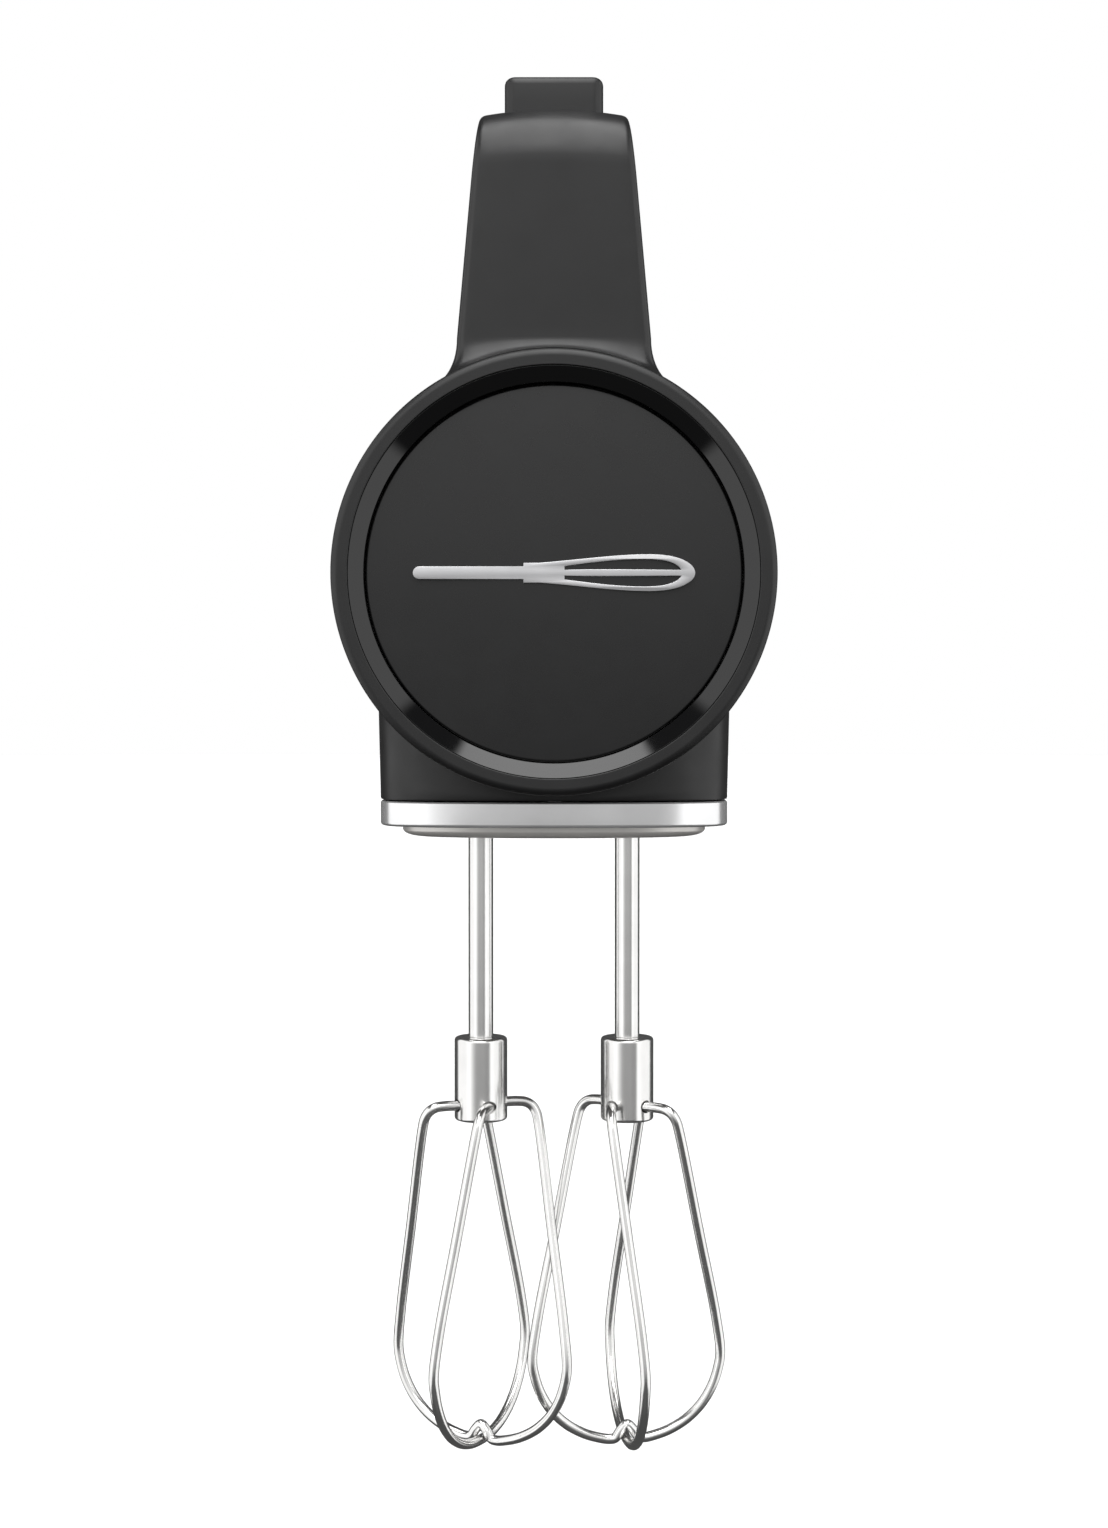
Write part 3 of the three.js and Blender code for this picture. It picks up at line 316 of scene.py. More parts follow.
def smooth_path(points, per_span=9):
    """A centripetal Catmull-Rom curve through the points."""
    ends = [points[0] * 2 - points[1]] + points + [points[-1] * 2 - points[-2]]
    path = []
    for p0, p1, p2, p3 in zip(ends, ends[1:], ends[2:], ends[3:]):
        t1 = (p1 - p0).length ** 0.5
        t2 = t1 + (p2 - p1).length ** 0.5
        t3 = t2 + (p3 - p2).length ** 0.5
        for k in range(per_span):
            t = t1 + (t2 - t1) * k / per_span
            a1, a2, a3 = (p0.lerp(p1, t / t1), p1.lerp(p2, (t - t1) / (t2 - t1)),
                          p2.lerp(p3, (t - t2) / (t3 - t2)))
            b1, b2 = a1.lerp(a2, t / t2), a2.lerp(a3, (t - t1) / (t3 - t1))
            path.append(b1.lerp(b2, (t - t1) / (t2 - t1)))
    return path + [points[-1]]


def add(piece, body, slot, *nodes):
    """Rides the piece on its body, gives it its looks and lets it stand for its CAD nodes."""
    piece.data.materials.clear()
    piece.data.materials.append(LOOK[slot])
    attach(piece, body)
    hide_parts(*nodes)


# ---- materials ----
NOISE_LOW, NOISE_HIGH = 0.3, 0.7  # the part of a noise's range that carries nearly all of it


class Nodes:
    """A small wrapper that builds a material's node tree."""

    def __init__(self, name, colour, roughness, metallic=0.0):
        self.material = bpy.data.materials.new(name)
        self.material.use_nodes = True
        self.tree = self.material.node_tree
        self.shader = self.tree.nodes["Principled BSDF"]
        self.shader.inputs["Base Color"].default_value = (*colour, 1)
        self.shader.inputs["Roughness"].default_value = roughness
        self.shader.inputs["Metallic"].default_value = metallic
        self.place = self.node("ShaderNodeTexCoord").outputs["Object"]

    def node(self, kind, **values):
        made = self.tree.nodes.new(kind)
        for name, value in values.items():
            made.inputs[name].default_value = value
        return made

    def link(self, source, target):
        self.tree.links.new(source, target)

    def stretched(self, scale):
        """The piece's own coordinates, scaled apart along each axis."""
        mapping = self.node("ShaderNodeMapping", Scale=scale)
        self.link(self.place, mapping.inputs["Vector"])
        return mapping.outputs["Vector"]

    def noise(self, size_mm, detail, where=None):
        """Noise with features of about the given size."""
        made = self.node("ShaderNodeTexNoise", Scale=1 / (size_mm * MM), Detail=detail)
        self.link(where or self.place, made.inputs["Vector"])
        return made.outputs["Fac"]

    def gloss(self, source, low, high):
        """Varies the roughness between two values."""
        made = self.node("ShaderNodeMapRange", **{"From Min": NOISE_LOW, "From Max": NOISE_HIGH,
                                                  "To Min": low, "To Max": high})
        self.link(source, made.inputs["Value"])
        self.link(made.outputs["Result"], self.shader.inputs["Roughness"])

    def colours(self, source, dark, light):
        """Varies the colour between two colours."""
        ramp = self.node("ShaderNodeValToRGB")
        ends = ramp.color_ramp.elements
        ends[0].position, ends[0].color = NOISE_LOW, (*dark, 1)
        ends[1].position, ends[1].color = NOISE_HIGH, (*light, 1)
        self.link(source, ramp.inputs["Fac"])
        self.link(ramp.outputs["Color"], self.shader.inputs["Base Color"])

    def bumps(self, *layers):
        """Adds bump layers, each a height source with its strength and depth in millimetres."""
        normal = None
        for source, strength, depth in layers:
            bump = self.node("ShaderNodeBump", Strength=strength, Distance=depth * MM)
            self.link(source, bump.inputs["Height"])
            if normal:
                self.link(normal, bump.inputs["Normal"])
            normal = bump.outputs["Normal"]
        self.link(normal, self.shader.inputs["Normal"])


def scaled(colour, factor):
    """A lighter or darker version of a colour."""
    return tuple(min(1.0, c * factor) for c in colour)


def moulded(name, colour, roughness, grain_mm, grain=0.25, spread=0.06, coat=0.0):
    """Moulded plastic: spark-eroded grain, slow colour drift and uneven gloss."""
    make = Nodes(name, colour, roughness)
    make.colours(make.noise(18, 3), scaled(colour, 0.9), scaled(colour, 1.12))
    make.gloss(make.noise(6, 4), roughness - spread, roughness + spread)
    make.bumps((make.noise(grain_mm, 3), grain, 0.02), (make.noise(25, 1), 0.1, 0.05))
    make.shader.inputs["Coat Weight"].default_value = coat
    make.shader.inputs["Coat Roughness"].default_value = 0.08
    return make.material


def metal(name, colour, roughness, brush, depth=0.004, spread=0.05, metallic=1.0):
    """Metal with fine marks drawn out along the axis whose scale is smallest."""
    make = Nodes(name, colour, roughness, metallic)
    marks = make.noise(0.25, 3, make.stretched(brush))
    make.colours(make.noise(9, 3), scaled(colour, 0.94), scaled(colour, 1.03))
    make.gloss(marks, roughness - spread, roughness + spread)
    make.bumps((marks, 0.2, depth))
    return make.material


def satin_disc(name, colour, roughness):
    """Satin plastic, a little smoother than the moulded shells."""
    make = Nodes(name, colour, roughness)
    make.colours(make.noise(14, 3), scaled(colour, 0.92), scaled(colour, 1.1))
    make.gloss(make.noise(5, 4), roughness - 0.04, roughness + 0.05)
    make.bumps((make.noise(0.3, 3), 0.2, 0.015))
    return make.material


BLACK = (0.0075, 0.0075, 0.0078)
MOULDED = {  # colour, roughness, grain in mm, its depth, spread of gloss, coat
    "housing_plastic": (BLACK, 0.42, 0.4),
    "handle_plastic": (BLACK, 0.36, 0.35, 0.2),
    "bezel_plastic": ((0.0035, 0.0035, 0.0038), 0.07, 2.0, 0.05, 0.02, 0.15),
    "button_plastic": ((0.0065, 0.0065, 0.0068), 0.4, 0.4),
    "soft_rubber": ((0.010, 0.010, 0.0105), 0.75, 0.5, 0.5, 0.08),
    "inner_plastic": ((0.042, 0.044, 0.048), 0.5, 0.6, 0.3),
    "gear_plastic": ((0.72, 0.69, 0.6), 0.42, 0.6, 0.2),
    "ferrite": ((0.05, 0.05, 0.053), 0.6, 0.5, 0.6),
    "circuit_board": ((0.02, 0.09, 0.045), 0.35, 1.2, 0.3),
    "lead_jacket": ((0.28, 0.03, 0.022), 0.42, 0.8, 0.3),
}
METALS = {  # colour, roughness, scales of the marks, depth, spread, metallic
    "emblem_foil": ((0.62, 0.62, 0.63), 0.38, (1, 30, 1)),
    "chrome_trim": ((0.96, 0.96, 0.965), 0.22, (3, 3, 3), 0.002, 0.04, 0.7),
    "base_metal": ((0.88, 0.855, 0.825), 0.36, (0.15, 4, 4), 0.004, 0.05, 0.4),
    "beater_steel": ((0.80, 0.795, 0.785), 0.2, (4, 4, 0.2), 0.0012, 0.03),
    "screw_steel": ((0.52, 0.52, 0.53), 0.3, (2, 2, 0.5)),
    "bronze": ((0.55, 0.36, 0.16), 0.35, (2, 2, 0.4)),
    "motor_steel": ((0.45, 0.46, 0.47), 0.32, (3, 0.3, 3)),
    "winding_copper": ((0.62, 0.26, 0.12), 0.3, (3, 0.3, 3), 0.01),
}
LOOK = {name: moulded(name, *values) for name, values in MOULDED.items()}
LOOK.update({name: metal(name, *values) for name, values in METALS.items()})
LOOK["disc_plastic"] = satin_disc("disc_plastic", BLACK, 0.28)


# ---- handle ----
NECK_FRONT, NECK_BACK = -38.0, -12.0
NECK_BASE = 236.0  # where the neck starts to flare on to the ring
CORNER_LOW = 246.0  # where the neck starts to turn into the bar
BAR_START = 2.0  # Y at which the turn is done
HANDLE_ROUND, GRIP_ROUND = 12.0, 14.0
HANDLE_UNDER = CORNER_LOW + GRIP_ROUND
BAR_END = 80.0
REAR_TIP = Vector((HANDLE_REAR, 265.5))
SPLIT_NECK_Y, SPLIT_BAR_Z = -24.0, 268.0
FLARE_FRONT, FLARE_SIDE, FLARE_BACK = 5.8, 6.9, 4.0
TOP_HALF, KNEE_HALF = 15.4, 16.6  # half widths at the top and where the neck begins
KNEE_Z = 269.3
NECK_SPREAD = 2.9 / 32.0  # how fast the neck widens downwards
DROP_START, DROP_RUN, DROP = 44.0, 38.0, 4.2  # how the bar's top falls towards the rear
BELLY_START, BELLY_RUN = 24.0, 58.0  # where the bar's underside swells
BAR_CROWN = 1.7


def half_width(z):
    """Half the handle's width at a height: narrow at the top, wider down the neck."""
    top = HANDLE_TOP - 3.5
    if z >= top:
        return TOP_HALF
    if z >= KNEE_Z:
        return TOP_HALF + (top - z) / (top - KNEE_Z) * (KNEE_HALF - TOP_HALF)
    return KNEE_HALF + (KNEE_Z - z) * NECK_SPREAD


def outer_turn(share):
    """The front and top edge of the handle from the neck to the bar, in side view."""
    top = HANDLE_TOP
    straight = top - HANDLE_ROUND - CORNER_LOW
    arc = HANDLE_ROUND * math.pi / 2
    flat = BAR_START - NECK_FRONT - HANDLE_ROUND
    s = share * (straight + arc + flat)
    if s < straight:
        return Vector((NECK_FRONT, CORNER_LOW + s))
    if s < straight + arc:
        angle = math.pi - (s - straight) / HANDLE_ROUND
        return Vector((NECK_FRONT + HANDLE_ROUND * (1 + math.cos(angle)),
                       top - HANDLE_ROUND * (1 - math.sin(angle))))
    return Vector((NECK_FRONT + HANDLE_ROUND + s - straight - arc, top))


def bar_top(y):
    """Height of the bar's top, which falls away towards the rear."""
    return HANDLE_TOP - DROP * (max(0, y - DROP_START) / DROP_RUN) ** 2


def bar_under(y):
    """Height of the bar's underside, which has a slight belly for the fingers."""
    share = max(0, y - BELLY_START) / BELLY_RUN
    return quadratic(HANDLE_UNDER, HANDLE_UNDER + 1.5, HANDLE_UNDER - 2, share)


def handle_stations():
    """Sections along the handle: outer point, inner point, crown, share of width, split depth."""
    stations = []
    neck_split = (SPLIT_NECK_Y - NECK_FRONT) / (NECK_BACK - NECK_FRONT)
    bar_split = (HANDLE_TOP - SPLIT_BAR_Z) / (HANDLE_TOP - HANDLE_UNDER)
    for z in (NECK_BASE, 238, 240, 242, 244):
        stations.append((Vector((NECK_FRONT, z)), Vector((NECK_BACK, z)), 0.5, 1, neck_split))
    turns = 44
    for k in range(turns + 1):
        share = k / turns
        angle = math.pi * (1 - share / 2)
        inner = Vector((NECK_BACK + GRIP_ROUND * (1 + math.cos(angle)),
                        CORNER_LOW + GRIP_ROUND * math.sin(angle)))
        ease = share * share * (3 - 2 * share)
        stations.append((outer_turn(share), inner, 0.5 + (BAR_CROWN - 0.5) * ease, 1,
                         neck_split + (bar_split - neck_split) * ease))
    y = BAR_START + 3
    while y < BAR_END:
        split = (bar_top(y) - SPLIT_BAR_Z) / (bar_top(y) - bar_under(y))
        stations.append((Vector((y, bar_top(y))), Vector((y, bar_under(y))), BAR_CROWN, 1, split))
        y += 3
    top_z, under_z = bar_top(BAR_END), bar_under(BAR_END)
    top = (Vector((BAR_END, top_z)), Vector((91.5, top_z - 4.2)), REAR_TIP + Vector((0, 8.5)))
    under = (Vector((BAR_END, under_z)), Vector((91.5, under_z + 0.2)), REAR_TIP - Vector((0, 5.5)))
    split = (top_z - SPLIT_BAR_Z) / (top_z - under_z)
    roundness = 2.8
    for k in range(17):
        t = math.sin(k / 16 * math.pi / 2) * 0.985
        outer, inner = cubic(*top, REAR_TIP, t), cubic(*under, REAR_TIP, t)
        reach = ((outer.x + inner.x) / 2 - BAR_END) / (HANDLE_REAR - BAR_END)
        width = (1 - min(0.999, reach) ** roundness) ** (1 / roundness)
        stations.append((outer, inner, BAR_CROWN * (1 - t), max(0.12, width), split + (0.5 - split) * t))
    return stations


def half_section(station, cover):
    """One side of a section as (x, depth below the outer edge), from the middle to the split for the
    cover and from the split to the middle for the grip."""
    outer, inner, crown, share, split = station
    deep = (inner - outer).length
    rise = (inner - outer).y / deep

    def wide(depth):
        return half_width(outer.y + rise * depth) * share

    def side(start, end):
        return [(wide(start + (end - start) * i / 8), start + (end - start) * i / 8) for i in range(9)]

    if cover:
        corner = min(1.6, 0.35 * deep, 0.8 * wide(deep / 2))
        fall = min(crown + 1.8, 0.4 * deep)
        edge = wide(fall)
        lip = max(split * deep - 0.25, fall + 0.1)
        points = [((edge - corner) * i / 10, crown * (i / 10) ** 2) for i in range(11)]
        points += bezier(9, (edge - corner, crown), (edge - 0.1, crown + 0.3), (edge, fall))[1:]
        return points + side(fall, lip)[1:] + [(wide(lip) - 0.3 * share, lip + 0.25)]
    round_off = min(6.0, 0.3 * deep)
    lip = min(split * deep + GAP + 0.25, deep - round_off - 0.1)
    low = deep - round_off
    flat = wide(deep) - 1.1 * round_off * share
    points = [(wide(lip) - 0.3 * share, lip - 0.25)] + side(lip, low)
    points += bezier(9, (wide(low), low), (wide(deep), deep), (flat, deep))[1:]
    return points + [(flat * (1 - i / 8), deep) for i in range(1, 9)]


def handle_ring(station, cover):
    """A closed ring of points round one shell at a section: its outer skin, then its inner skin."""
    outer, inner, _, share, _ = station
    deep = (inner - outer).length
    way = (inner - outer) / deep
    side = half_section(station, cover)
    path = side if cover else list(reversed(side))
    skin = list(reversed(path)) + [(-x, d) for x, d in path[1:]]
    width = half_width((outer.y + inner.y) / 2) * share
    thin_x = max(0.06, 1 - WALL / width)
    thin_d = max(0.06, 1 - 2 * WALL / deep)
    inside = [(x * thin_x, deep / 2 + (d - deep / 2) * thin_d) for x, d in reversed(skin)]
    return [at(x, outer.x + way.x * d, outer.y + way.y * d) for x, d in skin + inside]


def seat_height(x, y):
    """Height of the ring's or barrel's upper surface, with the step between them eased."""
    blend = min(1, max(0, (y + 34.5) / 3))
    radius = (RING_R + 0.25) * (1 - blend) + (BARREL_R + 0.35) * blend
    return BARREL_Z + math.sqrt(max(1, radius ** 2 - x ** 2))


def flare_rings(ring):
    """Rings that carry the neck's lowest section down and out on to the ring and the barrel."""
    count = len(ring) // 2
    steps = 14
    rings = [[] for _ in range(steps)]
    for i, point in enumerate(ring):
        if i < count:
            before, after = ring[max(i - 1, 0)], ring[min(i + 1, count - 1)]
            along = Vector((after.x - before.x, after.y - before.y)).normalized()
            out = Vector((along.y, -along.x))
            if out.dot(Vector((point.x, point.y - (NECK_FRONT + NECK_BACK) / 2))) < 0:
                out = -out
            square = (out.x ** 4 + out.y ** 4) ** -0.25
            reach = Vector((FLARE_SIDE, FLARE_FRONT if out.y < 0 else FLARE_BACK)) * square
        else:
            out, reach = Vector((0, 0)), Vector((0, 0))
        under = at(point.x, point.y, seat_height(point.x, point.y))
        x, y = point.x + out.x * reach.x, point.y + out.y * reach.y
        foot = at(x, y, seat_height(x, y))
        for k in range(steps):
            rings[k].append(quadratic(point, under, foot, 1 - k / steps))
    return rings


def handle_shell(name, cover):
    """The handle's cover or its grip as a closed shell."""
    rings = [handle_ring(station, cover) for station in handle_stations()]
    rings = flare_rings(rings[0]) + rings
    count = len(rings[0])
    faces = between_rings(rings)
    for start in (0, (len(rings) - 1) * count):
        faces += [(start + i, start + i + 1, start + count - 2 - i, start + count - 1 - i)
                  for i in range(count // 2 - 1)]
    return make_piece(name, rings, faces, 40)


def crowned_block(name, half, radius, centre, z_low, z_high, edge, crown):
    """A rounded block with softened top edges and a top that is crowned both ways."""
    flat = (half[0] - edge, half[1] - edge)
    shoulder = z_high - crown
    walls = [(0, z_low + (shoulder - edge - z_low) * k / 3) for k in range(4)]
    walls += [(edge * c, shoulder - edge + edge * s) for c, s in quarter(8)[1:-1]]
    skin = []
    for inset, z in walls:
        outline = rounded_rectangle(half[0] - inset, half[1] - inset, max(0.3, radius - inset))
        skin.append([at(centre[0] + u, centre[1] + v, z) for u, v in outline])
    for k in range(9):
        share = 1 - k / 8 * 0.97
        ring = []
        for u, v in rounded_rectangle(*flat, max(0.3, radius - edge)):
            u, v = u * share, v * share
            rise = crown * (1 - (u / flat[0]) ** 2) * (1 - (v / flat[1]) ** 2)
            ring.append(at(centre[0] + u, centre[1] + v, shoulder + rise))
        skin.append(ring)
    return loft(name, skin, sharp_deg=50)


SCREW_HEAD_R, SCREW_HEAD, SCREW_R = 3.0, 1.4, 1.4
SCREW_WELL_R = SCREW_HEAD_R + GAP


def add_screw(node):
    """A pan-head screw with a cross recess, pointing up. Returns its Y and its lowest Z."""
    low, high = span(node)
    y = (low.y + high.y) / 2
    neck = low.z + SCREW_HEAD
    screw = turned(f"{node}_fine", [
        (0, low.z, 0), (SCREW_HEAD_R * 0.62, low.z, 0.8), (SCREW_HEAD_R, low.z + SCREW_HEAD * 0.55, 0.4),
        (SCREW_HEAD_R, neck, 0.1), (SCREW_R, neck, 0.1), (SCREW_R, high.z, 0.3), (0, high.z, 0),
    ], 48, (0, y))
    for half in ((1.9, 0.42), (0.42, 1.9)):
        cut(screw, rounded_rectangle(*half, 0.3, 0, y, 3), low.z - 1, low.z + 0.75)
    add(screw, "housing", "screw_steel", node)
    return y, low.z


def build_handle():
    """Both shells with their screws, the eject button and the speed slider."""
    through = (270, 300)
    slot_half, slot_y = (3.4, 13.4), 22
    y_mid = (BUTTON_LOW.y + BUTTON_HIGH.y) / 2
    half, foot = (10.1, (BUTTON_HIGH.y - BUTTON_LOW.y) / 2), 277.6
    cover = handle_shell("handle_cover_skin", True)
    cut(cover, rounded_rectangle(half[0] + 0.45, half[1] + 0.45, 2.6, 0, y_mid), *through)
    cut(cover, rounded_rectangle(*slot_half, 1.6, 0, slot_y), *through)
    shade(cover, 40)
    add(cover, "housing", "handle_plastic", "handle_cover")
    grip = handle_shell("handle_grip_skin", False)
    for node in ("handle_screw_front", "handle_screw_rear"):
        y, z = add_screw(node)
        cut(grip, circle(SCREW_WELL_R, 0, y), HANDLE_UNDER - 10, z + 1.7)
    shade(grip, 40)
    add(grip, "housing", "handle_plastic", "handle_grip")

    button = crowned_block("eject_button_cap", half, 2.3, (0, y_mid), foot, BUTTON_HIGH.z, 1.7, 0.7)
    add(button, "ejector", "button_plastic", "eject_button")

    y_mid = (SLIDER_LOW.y + SLIDER_HIGH.y) / 2
    top = SLIDER_HIGH.z
    cap = crowned_block("speed_slider_cap", (7, 8), 3, (0, y_mid), HANDLE_TOP + GAP, top, 1.1, 0.4)
    for dy in (-4.5, -1.5, 1.5, 4.5):
        cut(cap, rounded_rectangle(5, 0.5, 0.45, 0, y_mid + dy, 4), top - 0.9, top + 2)
    stem = extruded("stem", rounded_rectangle(3, 3, 0.6, 0, y_mid), SLIDER_LOW.z, HANDLE_TOP + 1)
    add(join_pieces("speed_slider_cap_and_stem", cap, stem), "speed_slider_body", "button_plastic",
        "speed_slider")


def build_spring():
    """The eject button's return spring, which shortens as the button goes down."""
    low, high = span("eject_spring")
    y = (low.y + high.y) / 2
    wire, radius, turns, per_turn = 0.5, 4.8, 5, 32
    steps = turns * per_turn
    coil = []
    for i in range(steps + 1):
        angle = 2 * math.pi * i / per_turn
        height = low.z + wire + (high.z - low.z - 2 * wire) * i / steps
        coil.append(at(radius * math.cos(angle), y + radius * math.sin(angle), height))
    spring = tube("eject_spring_fine", coil, wire, 12)
    add(spring, "housing", "screw_steel", "eject_spring")
    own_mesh(spring)


build_handle()
build_spring()


# ---- motor housing ----
def footprint(inset):
    """The lower body from above: a crowned front, straight sides and a rounded tail."""
    half, front, rear = BODY_HALF - inset, BODY_FRONT + inset, BODY_REAR - inset
    shoulder, side, tail = (half * 0.72, front + 3.6), (half, front + 19), (half, 18)
    path = bezier(14, (0, front), (half * 0.45, front), shoulder)[:-1]
    path += bezier(14, shoulder, (half * 0.94, front + 6.6), (half, front + 11), side)[:-1]
    path += [Vector(side).lerp(Vector(tail), k / 10) for k in range(10)]
    path += bezier(28, tail, (half, rear - 8), (half * 0.62, rear), (0, rear))
    return path + [Vector((-p.x, p.y)) for p in reversed(path[1:-1])]


BARREL_PROFILE = [  # Y, radius, rounding
    (BARREL_FRONT, BARREL_R, 0.3), (20, BARREL_R - 0.8, 18), (76, BARREL_R - 2.2, 18),
    (92, BARREL_R - 4, 6), (BARREL_REAR, REAR_R + 2, 0.6),
]


def barrel_radius(y):
    """The barrel's outer radius at a depth."""
    for (y0, r0, _), (y1, r1, _) in zip(BARREL_PROFILE, BARREL_PROFILE[1:]):
        if y <= y1:
            return r0 + (r1 - r0) * (max(y, y0) - y0) / (y1 - y0)
    return BARREL_PROFILE[-1][1]


def barrel_skin():
    """The barrel's wall, open at both ends."""
    outer = [(r, y, rounding) for y, r, rounding in BARREL_PROFILE]
    inner = [(REAR_R + 0.4, BARREL_REAR, 0.3), (REAR_R + 0.4, 88, 0.3), (BARREL_R - 3.1, 76, 0.3),
             (BARREL_R - WALL, BARREL_FRONT, 0.2)]
    corners = outer + inner
    first = ((corners[0][0] + corners[-1][0]) / 2, BARREL_FRONT, 0)
    return turned("barrel_skin", [first] + corners + [first], 200)


def body_skin():
    """The lower body's wall: straight from the band upwards, then flared on to the barrel."""
    base = BAND_HIGH.z + GAP
    outline, inner = footprint(0), footprint(WALL)
    widening = 1 + BODY_DRAFT * 18 / BODY_HALF
    fillet, fade = 5.5, 12  # the flare's size, and the run over which it grows behind the ring
    rows, steps = 6, 10
    rings = [[] for _ in range(2 + rows + steps + 2)]
    count = len(outline)
    for i, p in enumerate(outline):
        before, after = outline[i - 1], outline[(i + 1) % count]
        along = (after - before).normalized()
        out = Vector((along.y, -along.x))
        if out.dot(p - Vector((0, 5))) < 0:
            out = -out
        radius = barrel_radius(p.y)
        x = p.x * widening
        meet = BARREL_Z - math.sqrt(radius ** 2 - x * x)
        reach = min(fillet, 0.55 * (meet - base)) * min(1, max(0, (p.y - BODY_FRONT - 3) / fade))
        angle = math.asin(x / radius) + out.x * reach / radius
        foot_y = min(BARREL_REAR - 6, p.y + out.y * reach)
        foot_r = barrel_radius(foot_y) + 0.04
        foot = at(foot_r * math.sin(angle), foot_y, BARREL_Z - foot_r * math.cos(angle))
        corner = at(x, p.y, meet)
        start = at(p.x + (x - p.x) * (meet - reach - base) / (meet - base), p.y, meet - max(reach, 0.01))
        rings[0].append(at(p.x - out.x * 0.35, p.y - out.y * 0.35, base))
        rings[1].append(at(p.x - out.x * 0.1, p.y - out.y * 0.1, base + 0.1))
        for k in range(rows):
            rings[2 + k].append(at(p.x, p.y, base + 0.35).lerp(start, k / (rows - 1)))
        for k in range(steps):
            rings[2 + rows + k].append(quadratic(start, corner, foot, (k + 1) / steps))
        q = inner[i]
        top = BARREL_Z - math.sqrt((radius - 0.5) ** 2 - min(abs(q.x), radius - 1) ** 2)
        rings[-2].append(at(q.x, q.y, min(top, meet + 0.5)))
        rings[-1].append(at(q.x, q.y, base))
    return loft("body_skin", rings, loop=True)


def build_housing():
    """The barrel with openings for the gears below and the eject rod above, and the lower body."""
    barrel = barrel_skin()
    cut(barrel, rounded_rectangle(33, 31, 8, 0, -1), 120, 172)
    cut(barrel, rounded_rectangle(12.8, 5.8, 1.5, 0, -19.8), BARREL_Z, 260)
    skin = join_pieces("motor_housing_skin", barrel, body_skin())
    add(skin, "housing", "housing_plastic", "motor_housing")


def build_front():
    """The matte ring, the gloss bevel inside it and the domed disc with its sign."""
    start = (42, NOSE_Y, 0)
    hole_r = FACE_R + 0.05
    ring = turned("front_ring_fine", [
        start, (RING_R, NOSE_Y, 1.5), (RING_R, RING_HIGH.y - 0.7, 0.6), (BARREL_R, RING_HIGH.y, 0.2),
        (hole_r, RING_HIGH.y, 0.1), (hole_r, NOSE_Y, 0.2), start,
    ], 256)
    add(ring, "housing", "housing_plastic", "front_ring")

    start = (FACE_R - 1.5, BEZEL_LOW.y + 1.15, 0)
    inner_r, foot_r, foot_y = DISC_R + GAP, 34, BEZEL_HIGH.y - 2.7
    bezel = turned("bezel_ring_fine", [
        start, (FACE_R, BEZEL_LOW.y, 0.08), (FACE_R, BEZEL_HIGH.y, 0.1), (foot_r, BEZEL_HIGH.y, 0.1),
        (foot_r, foot_y, 0.1), (inner_r, foot_y, 0.1), (inner_r, BEZEL_LOW.y + 2.3, 0.25), start,
    ], 256)
    add(bezel, "housing", "bezel_plastic", "bezel_ring")

    dome, steps, back = 1.1, 24, DISC_LOW.y + 2.4
    disc = turned("front_disc_fine", [
        *[(DISC_R * k / steps, DISC_LOW.y + dome * (k / steps) ** 2, 0) for k in range(steps)],
        (DISC_R, DISC_LOW.y + dome, 0.4), (DISC_R, DISC_HIGH.y, 0.2), (DISC_R - 2, DISC_HIGH.y, 0.1),
        (DISC_R - 2, back, 0.1), (0, back, 0),
    ], 256)
    add(disc, "housing", "disc_plastic", "front_disc")
    build_emblem()


def flipped(path):
    """A path mirrored top to bottom."""
    return [Vector((p.x, -p.y)) for p in path]


def whisk_outline():
    """A plain whisk lying on its side as one outline and two openings, as (x, z) lists."""
    bow = bezier(12, (-3, 1.9), (6, 2.6), (12, 3.6), (19, 3.6))
    nose = bezier(24, (19, 3.6), (31, 3.6), (31, -3.6), (19, -3.6))[1:-1]
    stub = [Vector((-26.8 + 1.2 * math.cos(a), 1.2 * math.sin(a)))
            for a in (math.pi / 2 + math.pi * k / 10 for k in range(11))]
    collar = [Vector((-6, 1.9)), Vector((-6, 1.2))]
    outline = bow + nose + flipped(bow[::-1] + collar) + stub[::-1] + collar[::-1]
    opening = bezier(10, (2, 0.5), (8, 0.7), (14, 0.6), (25.5, 0.5))[:-1]
    opening += bezier(10, (25.5, 0.5), (24.5, 2.2), (22, 2.8), (18, 2.8))[:-1]
    opening += bezier(10, (18, 2.8), (12, 2.8), (7, 2), (2, 1.4))
    return outline, [flipped(opening), opening]


def build_emblem():
    """The sign on the disc: a flat outline given a thickness and fine bevelled edges."""
    outline, openings = whisk_outline()
    face, back = span("front_emblem")[0].y + 0.05, DISC_LOW.y + 0.8
    bevel = 0.08
    curve = bpy.data.curves.new("emblem_outline", "CURVE")
    curve.dimensions = "2D"
    curve.fill_mode = "BOTH"
    curve.extrude = ((back - face) / 2 - bevel) * MM
    curve.bevel_depth = bevel * MM
    curve.bevel_resolution = 2
    for path in [outline] + openings:
        spline = curve.splines.new("POLY")
        spline.points.add(len(path) - 1)
        for point, place in zip(spline.points, path):
            point.co = (place.x * MM, place.y * MM, 0, 1)
        spline.use_cyclic_u = True
    drawn = bpy.data.objects.new("emblem_outline", curve)
    bpy.context.scene.collection.objects.link(drawn)
    graph = bpy.context.evaluated_depsgraph_get()
    flat = bpy.data.meshes.new_from_object(drawn.evaluated_get(graph))
    bpy.data.objects.remove(drawn)
    middle = (face + back) / 2
    points = [at(v.co.x / MM, middle - v.co.z / MM, BARREL_Z + v.co.y / MM) for v in flat.vertices]
    sign = make_piece("front_emblem_fine", [points], [tuple(f.vertices) for f in flat.polygons])
    add(sign, "housing", "emblem_foil", "front_emblem")


